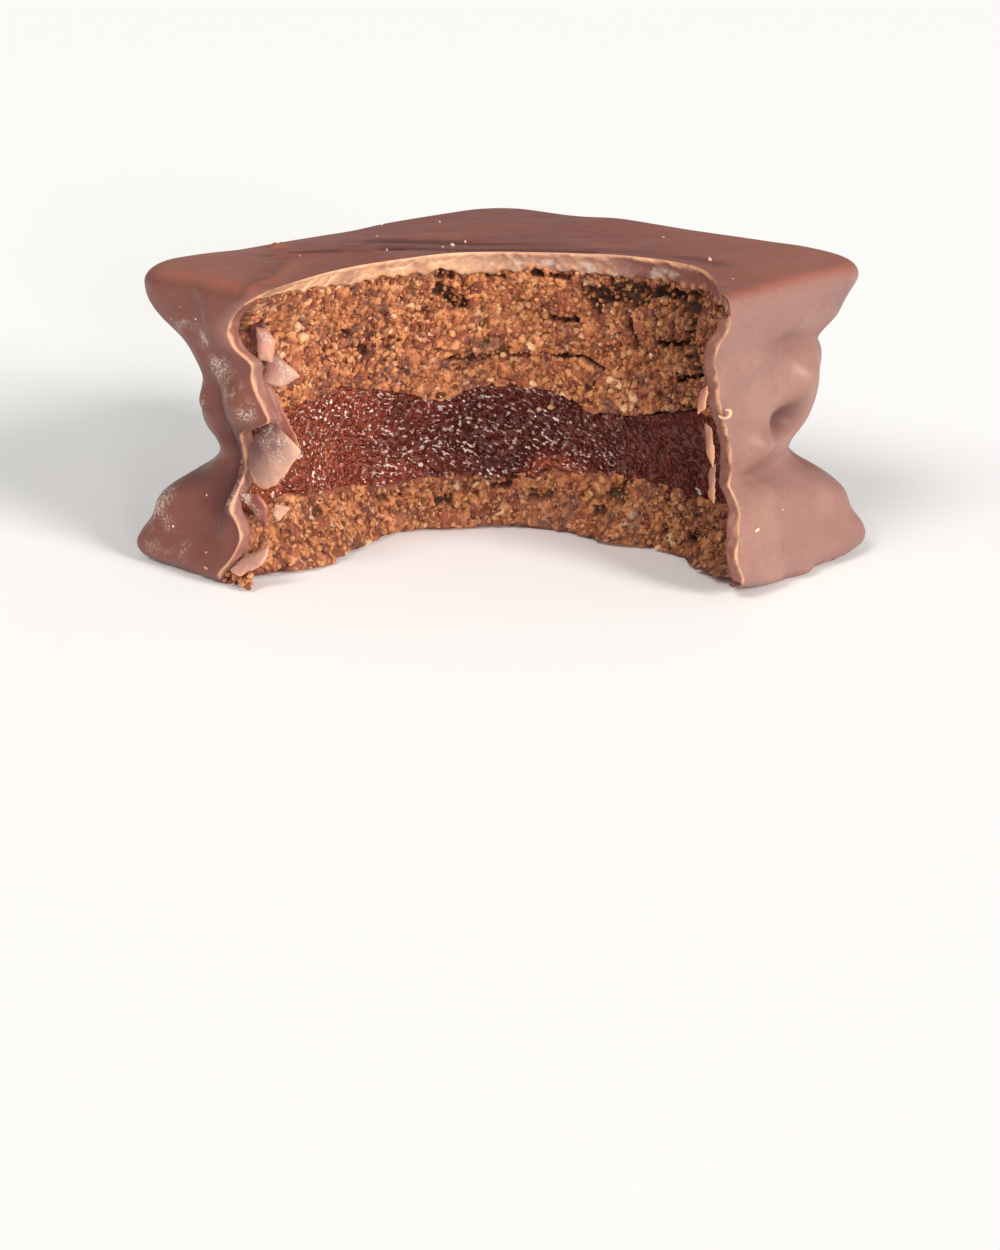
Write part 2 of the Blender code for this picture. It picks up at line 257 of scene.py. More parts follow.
def grain_caps(flat, size, seed, share=1.0):
    """Rounded grains about size across on a flat map: the height of the top one over each point,
    or -1 beside them, and that grain's number. share of the cells have a grain."""
    scaled = flat / size
    base = np.floor(scaled)
    top = np.full(flat.shape[:-1], -1.0)
    number = np.zeros(flat.shape[:-1])
    for offset in itertools.product((-1, 0, 1), repeat=2):
        cell = base + offset
        picks = [scramble(cell, seed + k) for k in range(7)]
        gap = scaled - cell - np.stack(picks[:2], axis=-1)
        turn = picks[2] * np.pi
        stretch = 0.75 + 0.6 * picks[3]
        along = (gap[..., 0] * np.cos(turn) + gap[..., 1] * np.sin(turn)) / stretch
        aside = (gap[..., 1] * np.cos(turn) - gap[..., 0] * np.sin(turn)) * stretch
        radius = 0.34 + 0.34 * picks[4]
        inside = 1 - (np.abs(along / radius) ** 2.6 + np.abs(aside / radius) ** 2.6)
        cap = radius * np.sqrt(np.maximum(inside, 0)) + 0.3 * (picks[5] - 0.5)
        shown = (inside > 0) & (cap > top) & (picks[6] < share)
        number = np.where(shown, scramble(cell, seed + 8), number)
        top = np.where(shown, cap, top)
    return np.where(top > -1, top * size, -1), number


def smooth_step(low, high, value):
    share = np.clip((value - low) / (high - low), 0, 1)
    return share * share * (3 - 2 * share)


def curve_at(stations, place, column=1):
    """A smooth curve through rows of stations, whose first number is the place along it."""
    places, values = stations[:, 0], stations[:, column]
    slopes = np.gradient(values, places)
    i = np.clip(np.searchsorted(places, place) - 1, 0, len(places) - 2)
    step = places[i + 1] - places[i]
    t = np.clip((place - places[i]) / step, 0, 1)
    start = (2 * t**3 - 3 * t**2 + 1) * values[i] + (t**3 - 2 * t**2 + t) * step * slopes[i]
    end = (3 * t**2 - 2 * t**3) * values[i + 1] + (t**3 - t**2) * step * slopes[i + 1]
    return start + end


def line_gap(flat, line):
    """Distance of points on a flat map from a bent line."""
    nearest = np.full(flat.shape[:-1], 1e9)
    for start, end in zip(np.array(line[:-1]), np.array(line[1:])):
        way = end - start
        share = np.clip(((flat - start) @ way) / (way @ way), 0, 1)
        nearest = np.minimum(nearest, np.sqrt(((flat - start - share[..., None] * way) ** 2).sum(-1)))
    return nearest


# ---------------------------------------------------------------- surfaces of the cookie


def ray(angle):
    """Unit direction of an angle round the bite's centre."""
    angle = np.asarray(angle)[..., None]
    return -BITE_OUT * np.cos(angle) + BITE_ACROSS * np.sin(angle)


def place_at(angle, reach, height):
    """Points at an angle round the bite's centre, a distance from it and a height."""
    flat = BITE_CENTRE + ray(angle) * np.asarray(reach)[..., None]
    height = np.broadcast_to(height, flat.shape[:-1])
    return np.concatenate([flat, height[..., None]], axis=-1)


def wall_map(angle, height):
    """Millimetres along the bite's wall and up, with a third number so that noise can use it."""
    height = height + 0 * angle
    return np.stack([angle * MAP_RADIUS + 0 * height, height, 0 * height], -1)


def half_side(height):
    """Half the cookie's width at a height."""
    inset = curve_at(SIDE_PROFILE, height)
    over = np.clip((height - TOP_EDGE_START) / (HEIGHT - TOP_EDGE_START), 0, 1)
    return HALF_SIDE - inset - TOP_EDGE_INSET * (1 - np.sqrt(1 - over**2))


def side_reach(angle, height, depth=0.0):
    """How far the side stands from the bite's centre, at a depth inside the coat."""
    level = np.where(depth > 0.3, np.maximum(height, FOOT_TOP), height)
    half = half_side(level) - depth
    corner = np.maximum(curve_at(SIDE_PROFILE, level, 2) - depth, 1.5)
    way = ray(angle)
    with np.errstate(divide="ignore"):
        to_sides = (np.sign(way) * half[..., None] - BITE_CENTRE) / way
    reach = to_sides.min(axis=-1)
    hit = BITE_CENTRE + way * reach[..., None]
    straight = half - corner
    in_corner = (np.abs(hit) > straight[..., None]).all(axis=-1)
    middle = np.sign(hit) * straight[..., None]
    along = ((BITE_CENTRE - middle) * way).sum(-1)
    gap = ((BITE_CENTRE - middle) ** 2).sum(-1) - corner**2
    round_reach = -along + np.sqrt(np.maximum(along**2 - gap, 0))
    return np.where(in_corner, round_reach, reach)


def edge_angle(flat):
    """Angle round the bite's centre of points on the ground plan."""
    away = flat - BITE_CENTRE
    return np.arctan2(away @ BITE_ACROSS, -(away @ BITE_OUT))


def left_edge(height, ragged=1.0, depth=0.0):
    """Angle at which the coat breaks off on the -Y side, at a depth inside it."""
    line = wall_map(height * 0, height)
    x = curve_at(LEFT_EDGE, height) + ragged * (0.3 * noise(line, 2.2, 3) + 0.16 * noise(line, 0.7, 4))
    return edge_angle(np.stack([x, depth - half_side(height)], axis=-1))


def right_edge(height, ragged=1.0, depth=0.0):
    """Angle at which the coat breaks off on the +X side, with a fringe at the waist."""
    line = wall_map(height * 0, height)
    fringe = 0.22 * noise(line, 0.55, 7) * smooth_step(6.5, 8.5, height) * smooth_step(21, 18, height)
    wave = 0.14 * noise(line, 1.6, 5) + 0.08 * noise(line, 0.6, 6)
    y = curve_at(RIGHT_EDGE, height) + ragged * (wave + fringe)
    return edge_angle(np.stack([half_side(height) - depth, y], axis=-1))


def bite_wall(angle, height):
    """Radius of the bite, before its roughness."""
    degrees = np.degrees(angle)
    reach = curve_at(BITE_RIM, degrees) + curve_at(BITE_DEPTH, height)
    inside = smooth_step(29.6, 25.0, height)
    reach = reach + 0.45 * inside * rough_noise(wall_map(angle, height), 6.0, 11, 2)
    rim = curve_at(RIM_REACH, degrees) - curve_at(BITE_RIM, degrees)
    reach = reach + rim * smooth_step(22.0, 28.6, height)
    return reach - curve_at(FOOT_FORWARD, degrees) * smooth_step(5.6, 0.6, height)


def broken_coat(angle, height):
    """Radius of the bite in the coat, which breaks off along its two edges."""
    reach = bite_wall(angle, height)
    for edge in (left_edge(height), right_edge(height)):
        pull = side_reach(edge, height) - bite_wall(edge, height)
        reach = reach + pull * np.exp(-(((angle - edge) / EDGE_FADE) ** 2))
    return reach


def seam(stations, angle, seed):
    """Height of the uneven line between two layers."""
    spot = wall_map(angle, 0 * angle)
    wave = 0.3 * noise(spot, 2.2, seed) + 0.3 * noise(spot, 0.8, seed + 1) + 0.14 * noise(spot, 0.4, seed)
    return curve_at(stations, np.degrees(angle)) + wave


def rim_foot(angle):
    """Height of the ragged lower edge of the broken rim."""
    return seam(RIM_FOOT, angle, 105)


def streak_marks(points):
    """How dark the dragged marks and the painted shade of a hollow on the top face are, from 0 to 1."""
    flat = points[..., :2] + 0.25 * np.stack([noise(points, 2.0, seed) for seed in (28, 29)], -1)
    marks = 0.0
    for line, width, amount in STREAKS:
        marks = np.maximum(marks, amount * np.exp(-((line_gap(flat, line) / width) ** 2)))
    return marks * smooth_step(28.6, 29.6, points[..., 2])


def warp(points):
    """Moves points of every piece alike, for the unevenness of the poured coat."""
    x, y, z = points[..., 0], points[..., 1], points[..., 2]
    size = (np.abs(x) ** 6 + np.abs(y) ** 6) ** (1 / 6) + 1e-9
    out = np.stack([np.sign(x) * np.abs(x / size) ** 5, np.sign(y) * np.abs(y / size) ** 5], -1)
    out /= np.sqrt((out**2).sum(-1))[..., None]
    rise = np.sin(np.pi * np.clip(z / HEIGHT, 0, 1))
    stand = rise * (0.6 * noise(points, 8.5, 21) + 0.3 * noise(points, 4.2, 22))
    stand = stand + 0.08 * rise * noise(points, 1.8, 27)
    for middle, spread, amount in LUMPS:
        away = (points - np.array(middle)) / np.array(spread)
        stand = stand + amount * np.exp(-(away**2).sum(-1))
    turn = np.arctan2(y, x)
    ring = np.stack([8 * np.cos(turn), 8 * np.sin(turn), turn * 0], -1)
    rag = 0.6 * noise(ring, 2.4, 23) + 0.35 * noise(ring, 0.8, 24)
    rag = rag + 0.3 * noise(ring, 0.25, 25) * smooth_step(1.6, 0.6, z)
    foot = smooth_step(0.0, 0.5, z) * smooth_step(3.2, 1.2, z)
    near_side = smooth_step(10.0, 19.0, size)
    moved = points.copy()
    moved[..., :2] += out * (near_side * (stand + rag * foot))[..., None]
    lift = DOME * (1 - (size / HALF_SIDE) ** 2.5) + 0.12 * noise(points, 9.0, 26)
    for line, amount, width in RIDGES:
        gap = line_gap(points[..., :2], line)
        lift = lift + amount * np.exp(-((gap / width) ** 2)) * smooth_step(28.6, 29.4, z)
    lift = lift - STREAK_DEPTH * streak_marks(points)
    raised = RAISED_END * np.exp(-(((x - 25.0) / 6.0) ** 2) - ((y - 3.0) / 5.0) ** 2)
    moved[..., 2] += lift * smooth_step(20.0, HEIGHT, z) + raised * smooth_step(7.0, 0.0, z)
    return moved


# ---------------------------------------------------------------- meshes


def colour(red, green, blue):
    """Linear colour of a screen colour given from 0 to 255."""
    values = np.array((red, green, blue)) / 255
    return np.where(values <= 0.04045, values / 12.92, ((values + 0.055) / 1.055) ** 2.4)


def blend(share, start, end):
    """Colours on the way from start to end."""
    return start + (end - start) * np.asarray(share)[..., None]


def new_piece(name, points, faces, tint, material, values=None, smooth=True):
    """A mesh object from points in millimetres, with a colour and further numbers for each point."""
    mesh = bpy.data.meshes.new(name)
    mesh.from_pydata((points * MM).tolist(), [], faces)
    for key, numbers in (values or {}).items():
        mesh.attributes.new(key, "FLOAT", "POINT").data.foreach_set("value", numbers.astype(np.float32))
    rgba = np.ones((len(points), 4), np.float32)
    rgba[:, :3] = tint
    mesh.attributes.new("tint", "FLOAT_COLOR", "POINT").data.foreach_set("color", rgba.ravel())
    mesh.polygons.foreach_set("use_smooth", np.full(len(mesh.polygons), smooth))
    mesh.materials.append(material)
    piece = bpy.data.objects.new(name, mesh)
    bpy.context.scene.collection.objects.link(piece)
    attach(piece, "root")
    return piece


def loop_faces(rows, columns, has_caps):
    """Quads of a tube of rows, closed along the rows, with or without its two end faces."""
    index = np.arange(rows * columns).reshape(rows, columns)
    after = np.roll(index, -1, axis=0)
    quads = np.stack([index[:, :-1], index[:, 1:], after[:, 1:], after[:, :-1]], -1)
    faces = quads.reshape(-1, 4).tolist()
    if has_caps:
        faces.append(index[:, 0].tolist())
        faces.append(index[::-1, -1].tolist())
    return faces


def weld(points, faces):
    """Joins points that are exactly alike and drops the faces that vanish. Also gives, for each
    point that is left, the number that it had before."""
    points = np.round(points, 6)
    kept, first, joined = np.unique(points, axis=0, return_index=True, return_inverse=True)
    joined = joined.ravel()
    solid = []
    for face in faces:
        corners = []
        for corner in face:
            number = int(joined[corner])
            if number not in corners:
                corners.append(number)
        if len(corners) > 2:
            solid.append(corners)
    return kept, solid, first


def facing_out(points, faces):
    """The faces turned so that a closed mesh has its normals outwards."""
    middle = points.mean(0)
    a, b, c = (points[[face[k] for face in faces]] - middle for k in range(3))
    volume = (a * np.cross(b, c)).sum()
    return faces if volume > 0 else [face[::-1] for face in faces]


# ---------------------------------------------------------------- coat
COAT_COLUMNS = 355
BREAK_COLUMNS = 8  # of those, this many at each end go across the broken edge
BREAK_STEP = 0.0005
TOP_ROWS = 60
RIM_ROWS = 14
RIM_LOW = 28.0
SHELF_ROWS = 3
UNDER_ROWS = 6
SIDE_ROWS = 84

MILK = colour(134, 76, 63)
MILK_DARK = colour(112, 60, 50)
MILK_PALE = colour(160, 97, 79)
# Colours of the painted sheen on the +X side, which faces the key lamp
SHEEN_LIT = colour(148, 114, 105)
# Painted shade for the hollows and recesses of the coat
HOLLOW_SHADE = colour(84, 44, 46)
DRAG_AND_SHADE_DARK = colour(74, 28, 22)
END_PINK = colour(212, 142, 116)
SHEEN_PALE = colour(168, 130, 114)
BLOOM = colour(190, 170, 155)
PEACH = colour(224, 168, 130)
CREAM = colour(240, 200, 160)
PLATE = colour(198, 150, 122)
MAUVE = colour(152, 108, 96)
INSIDE_COAT = colour(138, 84, 72)
CUT_DARK = colour(132, 84, 77)
FROST = colour(206, 186, 174)
CRUMB_TAN = colour(210, 146, 98)

# Dusty pale patches on the coat: where, how wide each way, and how strong
BLOOM_SPOTS = (
    ((-15.6, -25.0, 23.2), (1.5, 3.0, 1.7), 0.8),
    ((-14.0, -25.0, 21.2), (1.4, 3.0, 1.8), 0.9),
    ((-12.2, -25.0, 19.4), (1.5, 3.0, 1.7), 1.0),
    ((-10.4, -25.0, 17.8), (1.5, 3.0, 1.3), 0.9),
    ((-18.3, -25.0, 24.6), (2.4, 3.0, 1.0), 0.6),
    ((-17.4, -25.0, 16.6), (1.2, 3.0, 2.2), 0.6),
    ((-22.8, -27.0, 5.4), (2.4, 4.0, 3.6), 1.0),
    ((-19.5, -27.0, 2.6), (2.4, 4.0, 1.6), 0.4),
    ((-13.0, -25.0, 9.5), (1.0, 2.6, 3.4), 0.6),
    ((-25.0, 10.0, 9.0), (3.0, 5.0, 3.0), 0.5),
    ((8.0, 25.0, 20.0), (5.0, 3.0, 3.0), 0.5),
)


def coat_columns():
    """Share of the way round for each column, closer together at the broken edges."""
    angles = np.radians(np.linspace(-80, 84, 2000))
    middle = place_at(angles, side_reach(angles, np.full(2000, 12.0)), 12.0)
    steps = np.sqrt((np.diff(middle, axis=0) ** 2).sum(-1))
    from_end = np.minimum(np.arange(1999), 1998 - np.arange(1999)) / 1999
    steps = steps * (1 + 2.0 * np.exp(-((from_end / 0.06) ** 2)))
    way = np.concatenate([[0], np.cumsum(steps)]) / steps.sum()
    free = COAT_COLUMNS - 2 * BREAK_COLUMNS
    share = np.interp(np.linspace(0, 1, free), way, np.linspace(0, 1, 2000))
    ends = BREAK_STEP * np.arange(BREAK_COLUMNS)
    start = BREAK_STEP * BREAK_COLUMNS
    return np.concatenate([ends, start + (1 - 2 * start) * share, 1 - ends[::-1]])


def under_break(angle, broken, outer):
    """The coat's underside, broken back a little further than the biscuit over it."""
    spot = wall_map(angle, 0 * angle)
    ends = smooth_step(-76, -62, np.degrees(angle)) * smooth_step(84, 72, np.degrees(angle))
    moved = broken + ends * (1.8 + 0.5 * rough_noise(spot, 3.0, 31))
    return np.minimum(moved, outer)


def coat_skin():
    """Rows of points of the coat as one closed skin: underside, side, top, broken rim and inside.
    Also gives each point's kind (0 outside, 1 rim, 2 inside) and its share of the way down the rim."""
    share = coat_columns()
    column = np.arange(COAT_COLUMNS)
    from_end = np.minimum(column, COAT_COLUMNS - 1 - column)
    across_break = np.clip(from_end / BREAK_COLUMNS, 0, 1)[:, None]
    rim_share = np.linspace(0, 1, RIM_ROWS + 1)
    rim_share = 0.5 * rim_share + 0.5 * np.sin(rim_share * np.pi / 2)
    low = np.linspace(0, BASE_COAT, 4)
    side = np.linspace(BASE_COAT, RIM_LOW, SIDE_ROWS)
    rows, kinds, downs = [], [], []

    def at(height):
        height = np.broadcast_to(np.asarray(height, float), COAT_COLUMNS).copy()
        left, right = left_edge(height), right_edge(height)
        angle = left + (right - left) * share
        outer = side_reach(angle, height)
        broken = np.minimum(broken_coat(angle, height), outer)
        broken[[0, -1]] = outer[[0, -1]]
        return angle, outer, broken

    def inside(height):
        """The coat's inside, whose end columns run across its broken edges."""
        height = np.broadcast_to(np.asarray(height, float), COAT_COLUMNS).copy()
        left, right = (edge(height, 1.0, SIDE_COAT) for edge in (left_edge, right_edge))
        angle = left + (right - left) * (share - share[BREAK_COLUMNS]) / (1 - 2 * share[BREAK_COLUMNS])
        angle = np.clip(angle, left, right)
        wall = place_at(angle, side_reach(angle, height, SIDE_COAT), height)
        angle, outer, _ = at(height)
        skin = place_at(angle, outer, height)
        ends = np.where((column < COAT_COLUMNS / 2)[:, None], skin[0], skin[-1])
        ends[:, 2] = wall[:, 2]
        return ends + (wall - ends) * across_break

    def add(kind, points, down=0.0):
        rows.append(points)
        kinds.append(np.full(COAT_COLUMNS, float(kind)))
        downs.append(np.full(COAT_COLUMNS, down))

    def foot_of_rim():
        angle = at(RIM_LOW)[0]
        return RIM_LOW + (rim_foot(angle) - RIM_LOW) * np.clip(from_end / 8, 0, 1)

    angle, outer, broken = at(0.0)
    broken = under_break(angle, broken, outer)
    for step in range(UNDER_ROWS):
        add(0, place_at(angle, broken + (outer - broken) * step / UNDER_ROWS, 0.0))
    for height in (*low, *side[1:], *(RIM_LOW + (HEIGHT - RIM_LOW) * rim_share[1:])):
        angle, outer, broken = at(height)
        add(0, place_at(angle, outer, height))
    for step in range(1, TOP_ROWS):
        away = 1 - (1 - step / TOP_ROWS) ** 1.6
        add(0, place_at(angle, outer + (broken - outer) * away, HEIGHT))
    foot = foot_of_rim()
    for down in 1 - rim_share[::-1]:
        height = HEIGHT - (HEIGHT - foot) * down
        angle, outer, broken = at(height)
        rim = place_at(angle, broken, height)
        add(1, rim, down)
    wall = inside(foot)
    for step in range(1, SHELF_ROWS):
        add(2, rim + (wall - rim) * step / SHELF_ROWS)
    for level in side[::-1]:
        height = BASE_COAT + (foot - BASE_COAT) * (level - BASE_COAT) / (RIM_LOW - BASE_COAT)
        wall = inside(height)
        add(2, wall)
    angle, outer, broken = at(BASE_COAT)
    base = place_at(angle, under_break(angle, broken, outer), BASE_COAT)
    for step in range(1, SHELF_ROWS):
        add(2, wall + (base - wall) * step / SHELF_ROWS)
    for height in low[:0:-1]:
        angle, outer, broken = at(height)
        add(2, place_at(angle, under_break(angle, broken, outer), height))
    return np.array(rows), np.array(kinds), np.array(downs)


def rim_look(angle, down):
    """Colour and relief of the broken rim: pale plates with bright cracks on the left, darker with
    bubbles and frosty patches on the right, a peach line along its top edge that is partly a painted
    highlight, and painted shade along its lower edge."""
    spots = wall_map(angle, 1.8 * down)
    degrees = np.degrees(angle)
    right = smooth_step(-20, 2, degrees)
    far_right = smooth_step(24, 44, degrees)
    bent = spots[..., :2] + 0.25 * np.stack([noise(spots, 0.9, 39), noise(spots, 0.9, 40)], -1)
    borders, number = cell_borders(bent * (0.42, 0.8) + 0.1, 1.5, 41)
    crack = 1 - smooth_step(0.0, 0.3, borders)
    tint = blend(number, PLATE, PEACH)
    tint = blend(0.5 * smooth_step(0, 0.7, rough_noise(spots, 0.9, 42)), tint, PLATE * 0.8)
    tint = blend(0.9 * crack, tint, CREAM)
    tint = blend(0.5 * smooth_step(0.1, 0.6, rough_noise(spots, 2.6, 50)), tint, MAUVE)
    bubbles, bubble = grain_caps(spots[..., :2], 1.5, 44, 0.45)
    ring = np.exp(-(((bubbles - 0.12) / 0.1) ** 2))
    mauve = blend(0.5 + 0.5 * noise(spots, 1.3, 45), MAUVE, PLATE)
    mauve = blend(0.7 * ring * (bubbles > 0), mauve, CREAM)
    mauve = blend(far_right, mauve, CUT_DARK)
    frost_and_glints = smooth_step(0.2, 0.55, rough_noise(spots, 1.2, 46, 4)) * smooth_step(0.3, 0.6, down)
    mauve = blend(0.65 * frost_and_glints, mauve, FROST)
    tint = blend(right, tint, mauve)
    bright = np.exp(-(((degrees + 12) / 9) ** 2)) * 0.6
    tint = blend(bright * (0.6 + 0.4 * noise(spots, 0.6, 43)), tint, CREAM)
    # Peach line along the top edge, strongest at the far right: partly pale broken chocolate, partly a painted
    # highlight
    line = smooth_step(0.3, 0.12, down + 0.2 * rough_noise(spots, 0.9, 47))
    tint = blend(line * (0.35 + 0.55 * far_right), tint, PEACH)
    stuck, _ = grain_caps(spots[..., :2], 0.6, 240, 0.5)
    stuck = np.clip(stuck, 0, 1) * smooth_step(0.5, 0.9, down)
    tint = blend(np.clip(3 * stuck, 0, 0.8), tint, CRUMB_TAN)
    # Painted shade along the rim's lower edge, where it meets the biscuit
    tint *= (1 - 0.35 * smooth_step(0.85, 1.0, down) * (0.5 + 0.5 * noise(spots, 0.7, 49)))[..., None]
    relief = 0.12 * rough_noise(spots, 0.7, 48) - 0.12 * crack * (1 - right) + 0.6 * stuck
    relief = relief - 0.3 * right * np.clip(bubbles, 0, 0.5) * (bubble > 0.5) + 0.16 * line
    relief = relief + 0.12 * frost_and_glints * right
    return tint, -relief


def outside_tint(points):
    """Colours of the poured outside of the coat, with painted sheen on the +X side and painted shade on the -Y
    side and in the deeper dents.
    """
    mottle = rough_noise(points, 9.0, 61)
    tint = blend(0.5 + 0.4 * mottle, MILK_DARK * 0.5 + MILK * 0.5, MILK)
    tint = blend(0.25 * smooth_step(0.2, 0.9, rough_noise(points, 3.5, 64)), tint, MILK_PALE)
    corners = smooth_step(12.0, 30.0, np.abs(points[:, :2] @ BITE_ACROSS))
    tint = blend(0.6 * corners * smooth_step(28.6, 29.6, points[:, 2]), tint, MILK_PALE)
    # Painted sheen: the +X side below its top edge made lighter and mottled
    painted_sheen = 0.7 * smooth_step(21.0, 24.0, points[:, 0]) * smooth_step(HEIGHT, 28.9, points[:, 2])
    sheen_tint = blend(0.6 * smooth_step(0.1, 0.8, rough_noise(points, 5.0, 68)), SHEEN_LIT, SHEEN_PALE)
    tint = tint + (sheen_tint - tint) * painted_sheen[:, None]
    shaded = smooth_step(-20.0, -23.0, points[:, 1]) * smooth_step(HEIGHT, 28.9, points[:, 2])
    tint = tint * (1 - shaded[:, None] * (0.14, 0.03, -0.03))
    # Painted shade in the deeper dents
    for middle, spread, amount in LUMPS:
        if amount < -0.6:
            away = (points - np.array(middle)) / np.array(spread)
            tint = blend(-0.5 * amount * np.exp(-(away**2).sum(-1)), tint, HOLLOW_SHADE)
    return tint


def dust(points):
    """How strong the dusty bloom is, from 0 to 1."""
    share = 0.0
    for middle, spread, amount in BLOOM_SPOTS:
        away = (points - np.array(middle)) / np.array(spread)
        share = np.maximum(share, amount * np.exp(-((away**2).sum(-1) ** 1.5)))
    return share * smooth_step(-0.9, 0.6, rough_noise(points, 1.4, 67, 3))


def make_coat(material):
    rows, kinds, downs = coat_skin()
    count, columns = rows.shape[:2]
    points = rows.reshape(-1, 3).copy()
    kind, down = kinds.ravel(), downs.ravel()
    angle = edge_angle(points[:, :2])
    column = np.tile(np.arange(columns), count)
    from_end = np.minimum(column, columns - 1 - column)

    tint = outside_tint(points)
    rim, relief = rim_look(angle, down)
    near_end = smooth_step(22, 12, from_end) * (column > columns / 2)
    rim = blend(near_end, rim, END_PINK)
    tint = np.where((kind == 1)[:, None], rim, tint)
    spots = wall_map(angle, points[:, 2])
    inside = blend(0.5 + 0.5 * rough_noise(spots, 1.4, 52), INSIDE_COAT, MAUVE)
    inside = blend(0.8 * smooth_step(3.0, 0.5, from_end), inside, PEACH)
    tint = np.where((kind == 2)[:, None], inside, tint)
    # A thin peach line along the outside's broken edges: partly pale broken chocolate, partly a painted highlight
    pale_edge_and_highlight = np.exp(-from_end / 0.9) * (0.5 + 0.5 * rough_noise(spots, 0.9, 53))
    crescent = np.exp(-((from_end / 10.5) ** 4)) * (column < columns / 2)
    crescent = crescent * smooth_step(22.6, 24.0, points[:, 2]) * (kind == 0)
    tint = blend(0.8 * crescent, tint, MAUVE)
    # Painted shade in the recess along the left broken edge, beside the flap
    recess_shade = np.exp(-((from_end / 22.0) ** 4)) * (column < columns / 2) * (kind == 0)
    recess_shade = recess_shade * smooth_step(4.5, 7.5, points[:, 2]) * smooth_step(16.4, 14.8, points[:, 2])
    tint = blend(0.85 * recess_shade, tint, HOLLOW_SHADE)
    tint = blend(np.clip(0.8 * pale_edge_and_highlight, 0, 1) * (kind == 0), tint, PEACH)

    free = np.clip(from_end / 3, 0, 1) * (1 - near_end)
    points[:, :2] += ray(angle) * (relief * free * (kind == 1) * smooth_step(0, 0.12, down))[:, None]
    rough_break = 0.2 * rough_noise(points, 0.6, 54) * (kind == 2) * (from_end < BREAK_COLUMNS)
    rough_break *= from_end > 0
    points[:, 0] += rough_break * (column < columns / 2)
    points[:, 1] -= rough_break * (column > columns / 2)

    bloom = dust(points) * (kind == 0)
    drag_and_shade = streak_marks(points) * (kind == 0)
    points, faces, first = weld(points, loop_faces(count, columns, has_caps=False))
    points = warp(points)
    values = {"broken": (kind > 0)[first] * 1.0, "top": smooth_step(28.8, 29.6, points[:, 2])}
    values["bloom"] = bloom[first]
    values["drag_and_shade"] = drag_and_shade[first]
    return new_piece("coat", points, facing_out(points, faces), tint[first], material, values)


# ---------------------------------------------------------------- bitten biscuit and filling
# Cavities and cracks in the bitten biscuit: a line of angles in degrees and heights, half its
# width and its depth
CAVITIES = (
    (((14, 18.8), (20, 18.8), (26, 17.9)), 0.34, 1.2),
    (((-10, 18.3), (-3, 18.1)), 0.4, 0.9),
    (((-1, 18.5), (7, 18.4)), 0.34, 0.8),
    (((54, 27.2), (53, 24.5), (53, 21.8), (54, 19.4)), 0.95, 0.95),
    (((30, 26.7), (40, 26.4), (50, 26.3)), 0.6, 1.2),
    (((42, 21.5), (54, 22.3)), 0.4, 1.3),
    (((47, 18.2), (56, 19.4)), 0.36, 1.2),
    (((24, 25.8), (33, 25.6), (39, 25.3)), 0.8, 1.3),
    (((-16, 25.9), (-12, 25.4), (-8, 24.4)), 0.7, 1.1),
    (((23, 26.0), (26, 23.7)), 0.5, 1.0),
    (((13, 22.6), (20, 22.7)), 0.36, 0.8),
    (((-73, 26.2), (-69, 25.2)), 0.8, 1.6),
    (((-15, 27.6), (-12, 27.4)), 0.5, 1.0),
    (((-2, 27.3), (2, 27.2)), 0.4, 0.9),
    (((10, 27.4), (19, 27.2)), 0.45, 1.0),
    (((34, 23.4), (36, 20.6)), 0.4, 0.8),
    (((-40, 22.6), (-37, 22.2)), 0.4, 0.8),
    (((0, 4.0), (3, 4.1)), 0.5, 0.9),
    (((9, 3.4), (12, 3.5)), 0.5, 0.9),
    (((28, 4.5), (31, 4.4)), 0.6, 0.9),
    (((-13, 3.0), (-11, 3.1)), 0.5, 0.9),
    (((25, 2.8), (27, 2.9)), 0.5, 0.9),
    (((-47, 4.4), (-45, 4.5)), 0.4, 0.8),
    (((53, 2.4), (56, 2.6)), 0.6, 1.0),
)
# Colour of the painted glints in the filling
PAINTED_GLINT = colour(236, 214, 202)
FILLING_DARK = colour(88, 35, 29)
FILLING_RED = colour(124, 54, 39)
FILLING_ORANGE = colour(162, 80, 48)
FILLING_RIDGE = ((8.5, 5.6), (11.5, 7.0), (15.0, 6.7), (20.0, 6.4))

CRUMB_DARK = colour(84, 42, 34)
CRUMB_RED = colour(146, 80, 56)
CRUMB_ORANGE = colour(194, 122, 78)
CRUMB_CREAM = colour(226, 188, 144)
CRUMB_MAUVE = colour(112, 74, 66)
CRUMB_STEPS = ((0.0, CRUMB_DARK), (0.22, CRUMB_RED), (0.5, CRUMB_ORANGE), (0.78, CRUMB_TAN), (1.0, CRUMB_CREAM))


def crumb_tint(number):
    """Colour of a grain by its number, from the dark ones at 0 to the pale ones at 1."""
    places = [place for place, _ in CRUMB_STEPS]
    colours = np.array([shade for _, shade in CRUMB_STEPS])
    return np.stack([np.interp(number, places, colours[:, k]) for k in range(3)], -1)


def map_line(line):
    """A line of angles in degrees and heights, on the wall's map."""
    return [(math.radians(angle) * MAP_RADIUS, height) for angle, height in line]


